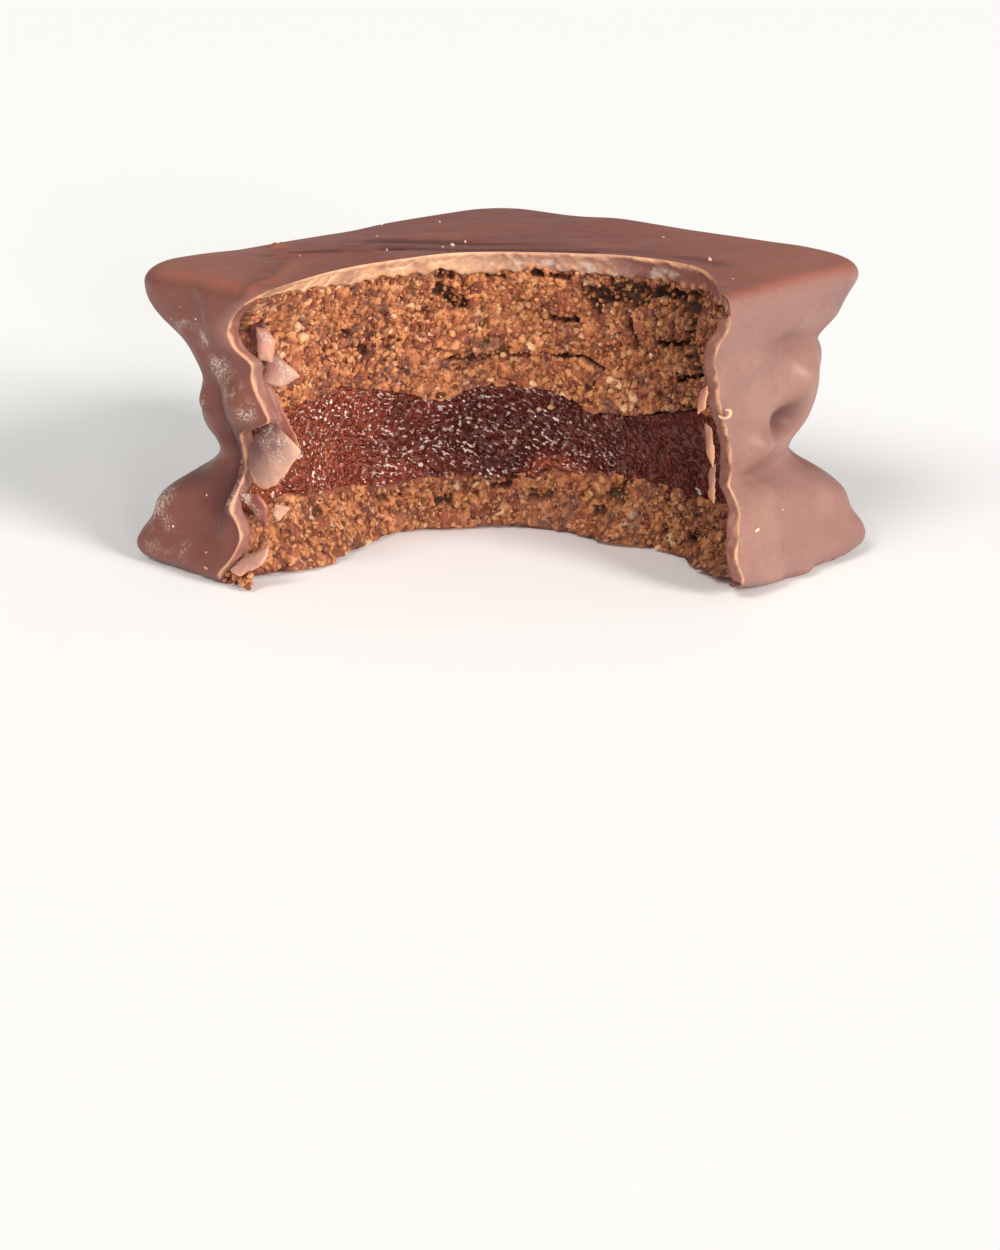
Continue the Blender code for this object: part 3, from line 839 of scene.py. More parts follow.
def crumb_relief(angle, height):
    """Grains, cavities and cracks of bitten almond-meal biscuit."""
    spots = wall_map(angle, height)
    flat = spots[..., :2]
    flat = flat + 0.1 * np.stack([noise(spots, 0.5, seed) for seed in (51, 52)], -1)
    level = 0.10 * rough_noise(spots, 0.45, 71, 2)
    top = level
    number = 0.12 + 0.10 * noise(spots, 0.3, 73)
    for size, seed, share in ((1.0, 120, 0.3), (0.66, 140, 0.8), (0.46, 160, 1.0), (0.34, 180, 0.9)):
        cap, own = grain_caps(flat, size, seed, share)
        above = cap * 0.8 > top
        number = np.where(above, own, number)
        top = np.where(above, cap * 0.8, top)
    warm = 0.16 * rough_noise(spots, 3.6, 75, 2)
    grain = np.clip(0.14 + 0.66 * number**1.4 + warm, 0, 1)
    grain = np.where(number > 0.96, 0.95, grain)
    tint = crumb_tint(grain)
    mauve = smooth_step(0.15, 0.75, rough_noise(spots, 2.4, 78, 2))
    tint = blend(0.55 * mauve, tint, CRUMB_MAUVE)
    # Painted shade: darker between and beside the grains, most of all at the right end of the bite, which faces
    # away from the key lamp
    right = smooth_step(15, 50, np.degrees(angle))
    crevice_shade_floor = 0.34 - 0.14 * right
    tint *= (crevice_shade_floor + (1.1 - crevice_shade_floor) * smooth_step(-0.06, 0.34, top))[..., None]

    stand = top - 0.35 + 0.3 * rough_noise(spots, 3.2, 81, 2)
    hollow = np.zeros(angle.shape)
    ragged = 0.5 * rough_noise(spots, 1.1, 83) + 1.2 * (top - 0.2)
    for line, width, depth in CAVITIES:
        gap = line_gap(flat, map_line(line)) / (0.85 * width) + ragged
        hollow = np.maximum(hollow, depth * smooth_step(1.2, 0.8, gap))
    pits = smooth_step(0.62, 0.9, rough_noise(spots, 1.5, 85, 2) + 0.22 * right)
    hollow = np.maximum(hollow, 0.7 * pits)
    stand = stand - hollow
    # Painted shade in the cavities, cracks and pits, on top of their depth
    tint = blend(np.clip(0.9 * hollow, 0, 0.92), tint, CRUMB_DARK * 0.4)
    degrees = np.degrees(angle)
    shade = 0.96 - 0.2 * smooth_step(15, 65, degrees)
    shade = shade + 0.14 * np.exp(-(((degrees + 2) / 16) ** 2)) * (height > 10)
    shade = shade * np.where(height < 10, 0.88, 1.0)
    return stand, tint * shade[..., None], {"gloss": (number > 0.8) * 1.0}


def filling_relief(angle, height):
    """Lumps, strings and beads of sticky filling, smeared by the bite."""
    spots = wall_map(angle, height)
    slant = spots * (1.0, 0.55, 1.0) + np.stack([0.6 * spots[..., 1], 0 * angle, 0 * angle], -1)
    stand = 0.42 * rough_noise(slant, 3.4, 91, 3)
    ridges = smooth_step(0.6, 1.0, 1 - np.abs(rough_noise(slant, 1.2, 94, 2)))
    stand = stand + 0.16 * ridges
    beads, _ = grain_caps(slant[..., :2], 0.5, 200, 0.7)
    left = smooth_step(10, -50, np.degrees(angle))
    stand = stand + (0.10 + 0.12 * left) * np.clip(beads, 0, 1)
    ridge = line_gap(spots[..., :2], map_line(FILLING_RIDGE))
    stand = stand + 0.9 * np.exp(-((ridge / 0.5) ** 2))
    # Warmer to the left and along the raised fold; on the left this is partly the filling's own colour, partly
    # painted glow of light through it where the key lamp falls
    warm = np.clip(0.62 * left + 0.16 * rough_noise(spots, 3.0, 97) + 0.7 * np.exp(-((ridge / 0.9) ** 2)), 0, 1)
    tint = blend(smooth_step(0, 0.5, warm), FILLING_DARK, FILLING_RED)
    tint = blend(smooth_step(0.45, 1.0, warm), tint, FILLING_ORANGE)
    degrees = np.degrees(angle)
    # Painted glints: pale specks clustered on the upper left and sprinkled over the left and middle
    frost_and_glints = 0.9 * np.exp(-(((degrees + 42) / 9) ** 2) - ((height - 15.0) / 1.0) ** 2)
    frost_and_glints = frost_and_glints + smooth_step(50, 0, degrees) * (0.7 + 0.7 * noise(spots, 2.0, 98))
    return stand, tint, {"frost_and_glints": np.clip(frost_and_glints, 0, 1)}


def bitten_layer(name, low, high, step, relief, back, material):
    """A layer that shows at the bite: a rough wall, closed by plain faces inside the coat.

    low and high give the heights of its two faces by angle. relief gives, for the wall's angles and
    heights, how far it stands out towards the bite, its colour and other values. The piece comes
    with the points of its wall."""
    columns = int(64 / step)
    wall_rows = int((high(np.zeros(1))[0] - low(np.zeros(1))[0]) / step)
    share = np.linspace(0, 1, columns)
    margin = math.radians(1.0)
    middle = np.full(columns, (high(np.zeros(1))[0] + low(np.zeros(1))[0]) / 2)
    seam_angle = left_edge(middle, 0) + (right_edge(middle, 0) - left_edge(middle, 0)) * share
    level = np.linspace(0, 1, wall_rows)[:, None]
    height = low(seam_angle) + (high(seam_angle) - low(seam_angle)) * level
    left = left_edge(height, 0, SIDE_COAT) + margin
    right = right_edge(height, 0, SIDE_COAT) - margin
    angle = left + (right - left) * share
    inside = side_reach(angle, height, SIDE_COAT)
    broken = broken_coat(angle, height)
    stand, tint, values = relief(angle, height)
    wall = np.maximum(bite_wall(angle, height) + back, broken + 0.1) - stand
    wall = np.minimum(wall, inside + 0.4)
    outer = np.maximum(inside + 0.6, wall + 0.2)
    picks = [(row, 0.0) for row in range(wall_rows)]
    picks += [(wall_rows - 1, 0.35), (wall_rows - 1, 0.7)]
    picks += [(row, 1.0) for row in np.linspace(wall_rows - 1, 0, 9).astype(int)]
    picks += [(0, 0.7), (0, 0.35)]
    rows = [row for row, _ in picks]
    depth = np.array([share_back for _, share_back in picks])[:, None]
    reach = wall[rows] + (outer[rows] - wall[rows]) * depth
    points = warp(place_at(angle[rows], reach, height[rows]).reshape(-1, 3))
    faces = facing_out(points, loop_faces(len(picks), columns, has_caps=True))
    values = {key: numbers[rows].ravel() for key, numbers in values.items()}
    piece = new_piece(name, points, faces, tint[rows].reshape(-1, 3), material, values)
    return piece, points[: wall_rows * columns].reshape(wall_rows, columns, 3)


# ---------------------------------------------------------------- loose grains and flakes


def grains(name, middles, sizes, tint, seed, material):
    """Small uneven grains of solid mesh round the given middles, joined into one piece."""
    ball = bmesh.new()
    bmesh.ops.create_icosphere(ball, subdivisions=2, radius=1.0)
    shape = np.array([vert.co[:] for vert in ball.verts])
    ball_faces = np.array([[vert.index for vert in face.verts] for face in ball.faces])
    ball.free()
    draw = np.random.default_rng(seed)
    count = len(middles)
    turns = np.linalg.qr(draw.normal(size=(count, 3, 3)))[0]
    turns *= np.linalg.det(turns)[:, None, None]
    stretch = draw.uniform(0.5, 1.25, (count, 1, 3))
    lumps = 1 + 0.45 * noise(shape[None] + 7.3 * draw.uniform(0, 9, (count, 1, 3)), 0.9, seed)
    local = shape[None] * lumps[..., None] * stretch * np.asarray(sizes)[:, None, None]
    points = np.einsum("nij,nkj->nki", turns, local) + np.asarray(middles)[:, None]
    faces = (ball_faces[None] + len(shape) * np.arange(count)[:, None, None]).reshape(-1, 3).tolist()
    shades = np.repeat(tint, len(shape), axis=0)
    values = {"gloss": np.repeat(draw.uniform(0, 1, count), len(shape))}
    return new_piece(name, points.reshape(-1, 3), faces, shades, material, values, smooth=False)


def wall_spots(wall, count, seed, outwards):
    """Places picked on a bitten wall, a little in front of it."""
    draw = np.random.default_rng(seed)
    row = draw.integers(3, wall.shape[0] - 3, count)
    column = draw.integers(6, wall.shape[1] - 6, count)
    spots = wall[row, column].copy()
    angle = edge_angle(spots[:, :2])
    spots[:, :2] -= ray(angle) * outwards
    return spots, np.degrees(angle)


# Pale bits of almond in the bitten wall: angle in degrees, height, radius
ALMONDS = (
    (-60, 24.7, 0.45), (-26, 23.6, 0.42), (-26, 21.9, 0.4), (-36, 19.7, 0.4), (-43, 20.1, 0.3),
    (-22, 19.8, 0.42), (17, 17.0, 0.4), (19, 16.5, 0.34), (1, 23.5, 0.4), (8, 24.0, 0.4), (12, 23.4, 0.36),
    (2, 18.5, 0.34), (32, 14.2, 0.4), (44, 23.6, 0.34), (40, 20.2, 0.3), (-50, 18.0, 0.3), (50, 16.2, 0.34),
    (10, 12.6, 0.36), (12.5, 13.0, 0.34), (30, 24.0, 0.3), (-10, 21.0, 0.3), (26, 20.6, 0.3),
)

# Broken flakes of the coat. Side, x on the -Y side or y on the +X side, height, how far in from the
# side, way it faces from the bite's open corner in degrees, lean upwards, thickness, bulge, colours
# at the top left and at the lower right, between which runs painted shade and light, and the corners of its
# outline to the right and up.
FLAKES = (
    ("left", -12.0, 7.8, 1.5, -22, -4, 0.45, 0.6, colour(100, 62, 60), colour(196, 150, 132),
     ((0.2, 3.2), (0.3, 5.0), (1.3, 7.4), (3.4, 9.0), (6.4, 6.2), (4.7, 4.0), (3.6, 2.9), (2.3, 1.8), (1.1, 1.9))),
    ("left", -12.6, 8.2, 1.0, -18, -12, 0.5, 0.1, colour(122, 66, 60), colour(142, 78, 68),
     ((0, 0.8), (1.7, 0.9), (2.5, -0.4), (2.4, -2.6), (1.4, -1.8))),
    ("left", -10.4, 1.5, 0.5, -20, 30, 0.4, 0.2, colour(150, 104, 92), colour(178, 130, 110),
     ((0, 0), (-1.1, 0.6), (0.4, 2.1), (2.9, 3.6), (2.5, 1.6))),
    ("left", -10.8, 20.0, 1.9, 4, 0, 0.5, 0.25, colour(150, 104, 92), colour(190, 142, 118),
     ((0, 0), (0.5, 2.8), (1.9, 2.1), (3.4, 0.3), (1.7, -0.7))),
    ("left", -10.2, 22.2, 1.6, 6, 4, 0.5, 0.3, colour(156, 104, 90), colour(196, 144, 122),
     ((0, 0), (-0.2, 3.2), (0.9, 3.0), (1.7, 1.7), (1.1, -0.3))),
    ("left", -11.5, 22.6, 1.9, 0, 0, 0.4, 0.1, colour(96, 42, 38), colour(118, 54, 46),
     ((0, 0), (0, 2.7), (1.4, 3.3), (2.0, 1.6), (1.4, -0.4))),
    ("left", -10.9, 19.2, 1.3, 6, 0, 0.45, 0.3, colour(150, 98, 86), colour(122, 58, 48),
     ((0.2, 1.2), (1.4, 0.4), (2.6, -2.0), (3.9, -5.6), (3.0, -6.0), (1.2, -3.6), (-0.4, -1.0))),
    ("left", -9.4, 8.1, 2.4, 0, 10, 0.5, 0.1, colour(178, 128, 108), colour(196, 146, 122),
     ((0, 0), (1.6, -0.2), (0.4, -1.7), (-0.3, -1.0))),
    ("right", 2.7, 17.4, 1.3, -14, 0, 0.25, 0.15, colour(128, 84, 70), colour(176, 126, 98),
     ((0, 0), (0.7, -0.6), (1.0, -2.6), (0.8, -4.4), (0.2, -3.0))),
    ("right", 4.3, 12.6, 1.3, -22, 0, 0.25, 0.1, colour(136, 92, 76), colour(168, 118, 92),
     ((0, 0), (0.6, 0.4), (0.8, -2.0), (0.7, -3.7), (0.1, -2.6))),
    ("right", 1.7, 20.6, 1.2, -30, 10, 0.35, 0.1, colour(150, 92, 74), colour(172, 116, 90),
     ((0, 0), (0.7, 0.5), (0.8, -1.6), (0.1, -2.2))),
)
# Specks stuck to the coat: the point they sit on, and their radius
SPECKS = (
    ((-8.1, 0.7, 29.9), 0.2), ((-8.6, 3.0, 29.9), 0.17), ((-8.0, -0.8, 29.9), 0.14),
    ((-10.4, -6.1, 29.9), 0.14), ((-17.4, -0.9, 29.9), 0.13), ((15.2, 12.4, 29.9), 0.24),
    ((22.0, 7.3, 29.6), 0.2), ((-14.5, -13.8, 29.9), 0.16), ((-19.4, 10.1, 29.9), 0.14),
    ((27.0, 7.6, 6.4), 0.34), ((27.0, 6.4, 8.6), 0.1), ((27.0, 12.0, 7.4), 0.1),
    ((-18.0, -27.0, 26.6), 0.12), ((-19.6, -27.0, 25.2), 0.1), ((-16.4, -27.0, 25.6), 0.12),
    ((-20.4, -27.0, 4.4), 0.1), ((-17.0, -27.0, 8.0), 0.12), ((-15.0, -27.0, 3.0), 0.14),
    ((-24.0, 6.0, 29.9), 0.14), ((4.0, 19.0, 29.9), 0.16), ((-27.0, -3.0, 15.0), 0.14),
    ((-6.0, 27.0, 9.0), 0.16), ((10.0, 27.0, 22.0), 0.12), ((-14.6, -27.4, 1.6), 0.3),
)
FLAKE_POINTS = 72
# Share of the way from a flake's middle to its outline, and share of half its thickness
FLAKE_SECTION = (
    (0.04, 1.0), (0.25, 1.0), (0.45, 1.0), (0.65, 0.98), (0.8, 0.9), (0.91, 0.72), (0.98, 0.36),
    (1.0, 0.0), (0.97, -0.45), (0.86, -0.8), (0.6, -1.0), (0.3, -1.0), (0.04, -1.0),
)


def flake(side, place, height, inward, facing, lean, thickness, bulge, start, end, corners, seed):
    """One flake as points, faces and colours."""
    level = half_side(np.array([height]))[0] - inward
    anchor = (place, -level, height) if side == "left" else (level, place, height)
    loop = np.array((*corners, corners[0]), float)
    lengths = np.sqrt((np.diff(loop, axis=0) ** 2).sum(-1))
    way = np.concatenate([[0], np.cumsum(lengths)])
    places = np.linspace(0, way[-1], FLAKE_POINTS, endpoint=False)
    outline = np.stack([np.interp(places, way, loop[:, k]) for k in (0, 1)], -1)
    for _ in range(2):
        outline = 0.5 * outline + 0.25 * (np.roll(outline, 1, 0) + np.roll(outline, -1, 0))
    spots = np.concatenate([outline, np.zeros((FLAKE_POINTS, 1))], -1)
    outline = outline + 0.12 * np.stack([rough_noise(spots, 0.9, seed + k) for k in (0, 5)], -1)
    middle = outline.mean(0)
    turn, tip = math.radians(facing), math.radians(lean)
    flat_normal = BITE_OUT * math.cos(turn) + BITE_ACROSS * math.sin(turn)
    right = np.append(BITE_ACROSS * math.cos(turn) - BITE_OUT * math.sin(turn), 0)
    normal = np.append(flat_normal * math.cos(tip), math.sin(tip))
    up = np.append(-flat_normal * math.sin(tip), math.cos(tip))
    points, shades = [], []
    for share, depth in FLAKE_SECTION:
        flat = middle + (outline - middle) * share
        spot = np.concatenate([flat, np.full((FLAKE_POINTS, 1), seed)], -1)
        stand = depth * thickness / 2 + bulge * (1 - share**2) + 0.08 * rough_noise(spot, 1.6, seed + 9)
        points.append(np.array(anchor) + flat[:, :1] * right + flat[:, 1:] * up + stand[:, None] * normal)
        span = np.ptp(outline, axis=0)
        # Painted shade and light: each flake runs from its top-left colour to its lower-right one
        down = 0.44 + 0.9 * ((flat - middle) / span) @ (0.6, -0.8) + 0.08 * rough_noise(spot, 1.2, seed + 12)
        painted_shading = blend(smooth_step(0.2, 0.8, down), start, end)
        border = smooth_step(0.86, 0.97, share) * 0.6 * smooth_step(0.1, 0.6, down)
        shades.append(blend(border, painted_shading, PEACH))
    points = np.stack(points, 1)
    faces = loop_faces(FLAKE_POINTS, len(FLAKE_SECTION), has_caps=True)
    points = warp(points.reshape(-1, 3))
    return points, facing_out(points, faces), np.stack(shades, 1).reshape(-1, 3)


def on_coat(points):
    """Points moved on to the coat: those at its sides inwards, those on the top as they are."""
    moved = points.copy()
    level = half_side(points[:, 2])
    for axis in (0, 1):
        at_side = np.abs(points[:, axis]) > 26.5
        moved[at_side, axis] = np.sign(points[at_side, axis]) * level[at_side]
    return warp(moved)


def specks_tint(count):
    """Colours of specks from pale almond to milk chocolate."""
    draw = np.random.default_rng(77)
    return blend(draw.uniform(0, 1, count), colour(176, 112, 92), colour(236, 206, 184))


def joined(parts):
    """Several meshes as one: points, faces and colours."""
    points, faces, shades, start = [], [], [], 0
    for part_points, part_faces, part_shades in parts:
        points.append(part_points)
        faces += [[number + start for number in face] for face in part_faces]
        shades.append(part_shades)
        start += len(part_points)
    return np.concatenate(points), faces, np.concatenate(shades)


def shaving(middle, radius, thickness, start, end, seed):
    """A thin curl of chocolate that stands off the broken edge on the +X side."""
    turns = np.radians(np.linspace(start, end, 26))
    ring = np.radians(np.arange(0, 360, 36))
    size = thickness * np.sin(np.linspace(0.35, np.pi - 0.35, 26)) + 0.03
    spiral = radius * np.linspace(1.0, 0.55, 26)
    across, up = np.append(BITE_ACROSS, 0), np.array((0.0, 0.0, 1.0))
    out = np.append(BITE_OUT, 0)
    radial = np.cos(turns)[:, None] * across + np.sin(turns)[:, None] * up
    spine = np.array(middle) + spiral[:, None] * radial + 0.4 * np.linspace(0, 1, 26)[:, None] * out
    around = np.cos(ring)[:, None, None] * radial + 1.8 * np.sin(ring)[:, None, None] * out
    points = (spine + around * size[:, None]).reshape(-1, 3)
    points = warp(points)
    faces = facing_out(points, loop_faces(len(ring), 26, has_caps=True))
    spots = blend(0.5 + 0.5 * noise(points, 0.6, seed), PLATE, CREAM)
    return points, faces, spots


# ---------------------------------------------------------------- materials


def principled(name, roughness, specular, coat=0.0, coat_roughness=0.1, subsurface=0.0):
    """A material with a Principled shader, whose all-over numbers are set on its own sockets."""
    material = bpy.data.materials.new(name)
    material.use_nodes = True
    shader = material.node_tree.nodes["Principled BSDF"]
    shader.inputs["Roughness"].default_value = roughness
    shader.inputs["Specular IOR Level"].default_value = specular
    shader.inputs["Coat Weight"].default_value = coat
    shader.inputs["Coat Roughness"].default_value = coat_roughness
    shader.inputs["Subsurface Weight"].default_value = subsurface
    shader.inputs["Subsurface Radius"].default_value = (1.0, 0.3, 0.15)
    shader.inputs["Subsurface Scale"].default_value = 0.9 * MM
    return material, shader


class Nodes:
    """Short calls for the nodes of one material."""

    def __init__(self, material):
        self.tree = material.node_tree
        self.where = self.tree.nodes.new("ShaderNodeTexCoord").outputs["Object"]

    def link(self, value, socket):
        if isinstance(value, bpy.types.NodeSocket):
            self.tree.links.new(value, socket)
        elif isinstance(value, (int, float)):
            socket.default_value = value
        else:
            socket.default_value = (*value, 1.0)

    def attribute(self, name, output="Fac"):
        node = self.tree.nodes.new("ShaderNodeAttribute")
        node.attribute_name = name
        return node.outputs[output]

    def along(self, stretch, turn):
        """Coordinates in which a texture is longer along its own X axis, turned by degrees."""
        node = self.tree.nodes.new("ShaderNodeMapping")
        node.vector_type = "TEXTURE"
        node.inputs["Scale"].default_value = (stretch, 1.0, 1.0)
        node.inputs["Rotation"].default_value = [math.radians(angle) for angle in turn]
        self.link(self.where, node.inputs["Vector"])
        return node.outputs["Vector"]

    def noise(self, size, detail=3.0, roughness=0.55, where=None):
        node = self.tree.nodes.new("ShaderNodeTexNoise")
        node.inputs["Scale"].default_value = 1 / (size * MM)
        node.inputs["Detail"].default_value = detail
        node.inputs["Roughness"].default_value = roughness
        self.link(where or self.where, node.inputs["Vector"])
        return node.outputs["Fac"]

    def span(self, value, low, high, start=0.0, end=1.0):
        node = self.tree.nodes.new("ShaderNodeMapRange")
        node.interpolation_type = "SMOOTHSTEP"
        for key, number in (("From Min", low), ("From Max", high), ("To Min", start), ("To Max", end)):
            node.inputs[key].default_value = number
        self.link(value, node.inputs["Value"])
        return node.outputs["Result"]

    def maths(self, operation, a, b):
        node = self.tree.nodes.new("ShaderNodeMath")
        node.operation = operation
        self.link(a, node.inputs[0])
        self.link(b, node.inputs[1])
        return node.outputs["Value"]

    def mix(self, share, a, b, blend_type="MIX"):
        """Mixes two colours, which may be sockets or linear colours."""
        node = self.tree.nodes.new("ShaderNodeMix")
        node.data_type = "RGBA"
        node.blend_type = blend_type
        first, second = [socket for socket in node.inputs if socket.type == "RGBA"]
        self.link(share, node.inputs[0])
        self.link(a, first)
        self.link(b, second)
        return [socket for socket in node.outputs if socket.type == "RGBA"][0]

    def bump(self, height, distance, normal=None):
        node = self.tree.nodes.new("ShaderNodeBump")
        node.inputs["Distance"].default_value = distance * MM
        self.link(height, node.inputs["Height"])
        if normal:
            self.link(normal, node.inputs["Normal"])
        return node.outputs["Normal"]


def chocolate_material():
    material, shader = principled("chocolate", 0.45, 0.3)
    nodes = Nodes(material)
    streaks = nodes.noise(1.3, 4.0, 0.6, nodes.along(16, (0, 0, 45)))
    top = nodes.attribute("top")
    fine = nodes.noise(0.35, 3.0)
    base = nodes.attribute("tint", "Color")
    base = nodes.mix(1.0, base, nodes.span(fine, 0.3, 0.7, 0.94, 1.05), "MULTIPLY")
    streak = nodes.maths("MULTIPLY", nodes.span(streaks, 0.4, 0.7), top)
    base = nodes.mix(nodes.maths("MULTIPLY", streak, 0.2), base, MILK_PALE)
    # Dragged marks darkened, along with the painted shade of a hollow among them
    lines = nodes.span(nodes.noise(1.2, 2.0, 0.5, nodes.along(24, (0, 0, 44))), 0.42, 0.54, 0.3, 1.0)
    drag_and_shade = nodes.maths("MULTIPLY", nodes.attribute("drag_and_shade"), lines)
    base = nodes.mix(drag_and_shade, base, DRAG_AND_SHADE_DARK)
    speckle = nodes.span(nodes.noise(0.26, 3.0), 0.46, 0.6, 0.25, 1.0)
    bloom = nodes.maths("MULTIPLY", nodes.attribute("bloom"), speckle)
    base = nodes.mix(nodes.span(bloom, 0.0, 0.8, 0.0, 0.9), base, BLOOM)
    nodes.link(base, shader.inputs["Base Color"])
    satin = nodes.span(nodes.noise(2.6, 4.0), 0.3, 0.7, 0.36, 0.48)
    dull = nodes.maths("ADD", satin, nodes.maths("MULTIPLY", nodes.attribute("broken"), 0.14))
    nodes.link(dull, shader.inputs["Roughness"])
    relief = nodes.bump(nodes.noise(2.4, 3.0), 0.10)
    relief = nodes.bump(nodes.maths("MULTIPLY", drag_and_shade, -1.0), 0.12, relief)
    relief = nodes.bump(nodes.maths("MULTIPLY", nodes.attribute("broken"), fine), 0.07, relief)
    nodes.link(relief, shader.inputs["Normal"])
    return material


def crumb_material():
    material, shader = principled("biscuit", 0.7, 0.35)
    nodes = Nodes(material)
    fine = nodes.noise(0.2, 3.0)
    base = nodes.mix(1.0, nodes.attribute("tint", "Color"), nodes.span(fine, 0.3, 0.7, 0.8, 1.18), "MULTIPLY")
    nodes.link(base, shader.inputs["Base Color"])
    nodes.link(nodes.span(nodes.attribute("gloss"), 0.4, 0.9, 0.75, 0.3), shader.inputs["Roughness"])
    nodes.link(nodes.bump(fine, 0.09), shader.inputs["Normal"])
    return material


def filling_material():
    material, shader = principled("filling", 0.1, 0.36, subsurface=0.1)
    nodes = Nodes(material)
    beads = nodes.span(nodes.noise(0.5, 1.0, 0.5, nodes.along(1.35, (0, 25, 45))), 0.42, 0.78)
    patches = nodes.span(nodes.noise(1.8, 3.0), 0.35, 0.65, 0.86, 1.12)
    base = nodes.mix(1.0, nodes.attribute("tint", "Color"), patches, "MULTIPLY")
    # Painted glints: pale specks wherever the attribute for them is high
    painted_glints = nodes.span(nodes.noise(0.34, 2.0, 0.5, nodes.along(1.8, (0, 25, 45))), 0.578, 0.64)
    base = nodes.mix(nodes.maths("MULTIPLY", painted_glints, nodes.attribute("frost_and_glints")), base, PAINTED_GLINT)
    nodes.link(base, shader.inputs["Base Color"])
    nodes.link(nodes.span(nodes.noise(1.1, 3.0), 0.35, 0.65, 0.06, 0.13), shader.inputs["Roughness"])
    nodes.link(nodes.bump(beads, 0.62), shader.inputs["Normal"])
    return material


# ---------------------------------------------------------------- studio
CAMERA_TARGET = Vector((35.99, -38.58, 12.0))
CAMERA_AZIMUTH = 43.69
CAMERA_ELEVATION = 20.64
CAMERA_DISTANCE = 150.7
SKY_STRENGTH = 0.32
# Name, azimuth, elevation, softness in degrees, strength
LAMPS = (
    ("key", 94, 22, 20, 3.0),
    ("fill", 8, 42, 24, 1.45),
    ("glint", 60, 9, 9, 1.0),
)


def look_back(azimuth, elevation):
    """Unit direction from the cookie towards a place at an azimuth and elevation."""
    a, e = math.radians(azimuth), math.radians(elevation)
    return Vector((math.sin(a) * math.cos(e), -math.cos(a) * math.cos(e), math.sin(e)))


def studio():
    """A pale floor, soft lights and a camera."""
    size = 3.0
    corners = [(-size, -size, 0), (size, -size, 0), (size, size, 0), (-size, size, 0)]
    mesh = bpy.data.meshes.new("floor")
    mesh.from_pydata(corners, [], [(0, 1, 2, 3)])
    floor = bpy.data.objects.new("floor", mesh)
    material, shader = principled("pale_floor", 0.9, 0.1)
    shader.inputs["Base Color"].default_value = (0.96, 0.96, 0.955, 1)
    mesh.materials.append(material)
    bpy.context.scene.collection.objects.link(floor)

    world = bpy.data.worlds.new("studio")
    bpy.context.scene.world = world
    world.use_nodes = True
    sky = world.node_tree.nodes["Background"]
    sky.inputs["Color"].default_value = (1.0, 0.985, 0.97, 1)
    sky.inputs["Strength"].default_value = SKY_STRENGTH

    for name, azimuth, elevation, softness, strength in LAMPS:
        lamp = bpy.data.lights.new(name, "SUN")
        lamp.angle = math.radians(softness)
        lamp.energy = strength
        lamp.color = (1.0, 0.98, 0.95)
        light = bpy.data.objects.new(name, lamp)
        light.rotation_euler = look_back(azimuth, elevation).to_track_quat("Z", "Y").to_euler()
        bpy.context.scene.collection.objects.link(light)

    back = look_back(CAMERA_AZIMUTH, CAMERA_ELEVATION)
    data = bpy.data.cameras.new("camera")
    data.sensor_fit = "HORIZONTAL"
    data.sensor_width = 36.0
    data.lens = 72.0
    data.clip_start = 0.01
    camera = bpy.data.objects.new("camera", data)
    camera.location = (CAMERA_TARGET + back * CAMERA_DISTANCE) * MM
    camera.rotation_euler = back.to_track_quat("Z", "Y").to_euler()
    bpy.context.scene.collection.objects.link(camera)
    bpy.context.scene.camera = camera
    bpy.context.scene.view_settings.view_transform = "Standard"


# ---------------------------------------------------------------- the cookie


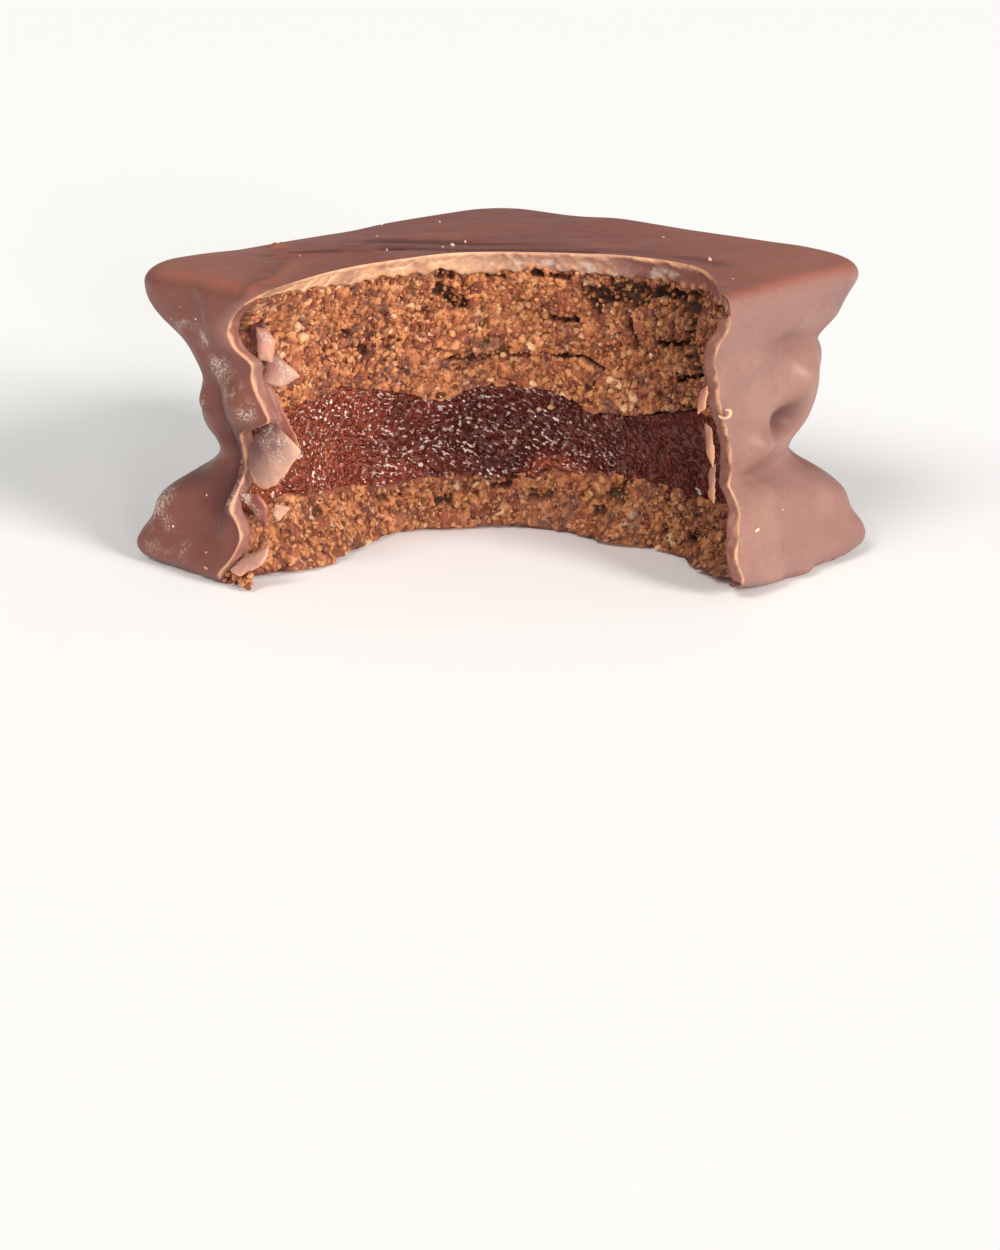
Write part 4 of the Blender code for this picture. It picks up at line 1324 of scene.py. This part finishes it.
def main():
    chocolate = chocolate_material()
    biscuit = crumb_material()
    dark = filling_material()

    coat = make_coat(chocolate)
    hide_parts("chocolate_coat")

    def lower_seam(angle):
        return seam(LOWER_SEAM, angle, 101)

    def upper_seam(angle):
        return seam(UPPER_SEAM, angle, 103)

    upper, upper_wall = bitten_layer(
        "biscuit_upper_crumb",
        upper_seam,
        lambda angle: rim_foot(angle) + 0.25,
        0.105,
        crumb_relief,
        CRUMB_BACK,
        biscuit,
    )
    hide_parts("biscuit_upper")
    filling, _ = bitten_layer(
        "filling_paste",
        lambda angle: lower_seam(angle) - 0.4,
        lambda angle: upper_seam(angle) + 0.4,
        0.12,
        filling_relief,
        FILLING_BACK,
        dark,
    )
    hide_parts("filling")
    lower, lower_wall = bitten_layer(
        "biscuit_lower_crumb",
        lambda angle: 0.4 + 0.3 * noise(wall_map(angle, 0 * angle), 0.9, 107),
        lower_seam,
        0.112,
        crumb_relief,
        CRUMB_BACK,
        biscuit,
    )
    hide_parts("biscuit_lower")

    draw = np.random.default_rng(11)
    for name, wall, count, seed in (
        ("biscuit_upper_grains", upper_wall, 2300, 301),
        ("biscuit_lower_grains", lower_wall, 1100, 302),
    ):
        middles, degrees = wall_spots(wall, count, seed, 0.06)
        sizes = draw.uniform(0.14, 0.36, count)
        shade = 0.94 - 0.3 * smooth_step(15, 65, degrees)
        shade = shade * np.where(middles[:, 2] < 10, 0.88, 1.0)
        tint = crumb_tint(draw.uniform(0.1, 0.85, count)) * shade[:, None]
        grains(name, middles, sizes, tint, seed + 10, biscuit)

    spots = np.array(ALMONDS)
    angle = np.radians(spots[:, 0])
    reach = bite_wall(angle, spots[:, 1]) + CRUMB_BACK - 0.1
    middles = warp(place_at(angle, reach, spots[:, 1]))
    tint = blend(draw.uniform(0, 1, len(spots)), CRUMB_TAN, CRUMB_CREAM)
    grains("almond_bits", middles, spots[:, 2], tint, 331, biscuit)

    middles = warp(draw.uniform((-13.4, -26.2, 0.4), (-9.6, -24.6, 1.6), (70, 3)))
    grains("foot_crumbs", middles, draw.uniform(0.14, 0.36, 70), crumb_tint(draw.uniform(0, 0.8, 70)), 335,
           biscuit)

    places = np.array([place for place, _ in SPECKS])
    sizes = np.array([size for _, size in SPECKS])
    grains("coat_specks", on_coat(places), sizes, specks_tint(len(SPECKS)), 341, chocolate)

    flakes = [flake(*row, 401 + 20 * number) for number, row in enumerate(FLAKES)]
    level = np.array([18.4])
    curl_place = (half_side(level)[0] + 0.25, curve_at(RIGHT_EDGE, level)[0] + 0.1, 18.4)
    flakes.append(shaving(curl_place, 0.6, 0.15, -150, 110, 501))
    points, faces, tint = joined(flakes)
    values = {"broken": np.full(len(points), 0.5), "top": np.zeros(len(points))}
    values["bloom"] = 0.6 * smooth_step(0.0, 0.7, rough_noise(points, 1.6, 521)) * (points[:, 0] < 0)
    new_piece("coat_flakes", points, faces, tint, chocolate, values)
    studio()


main()
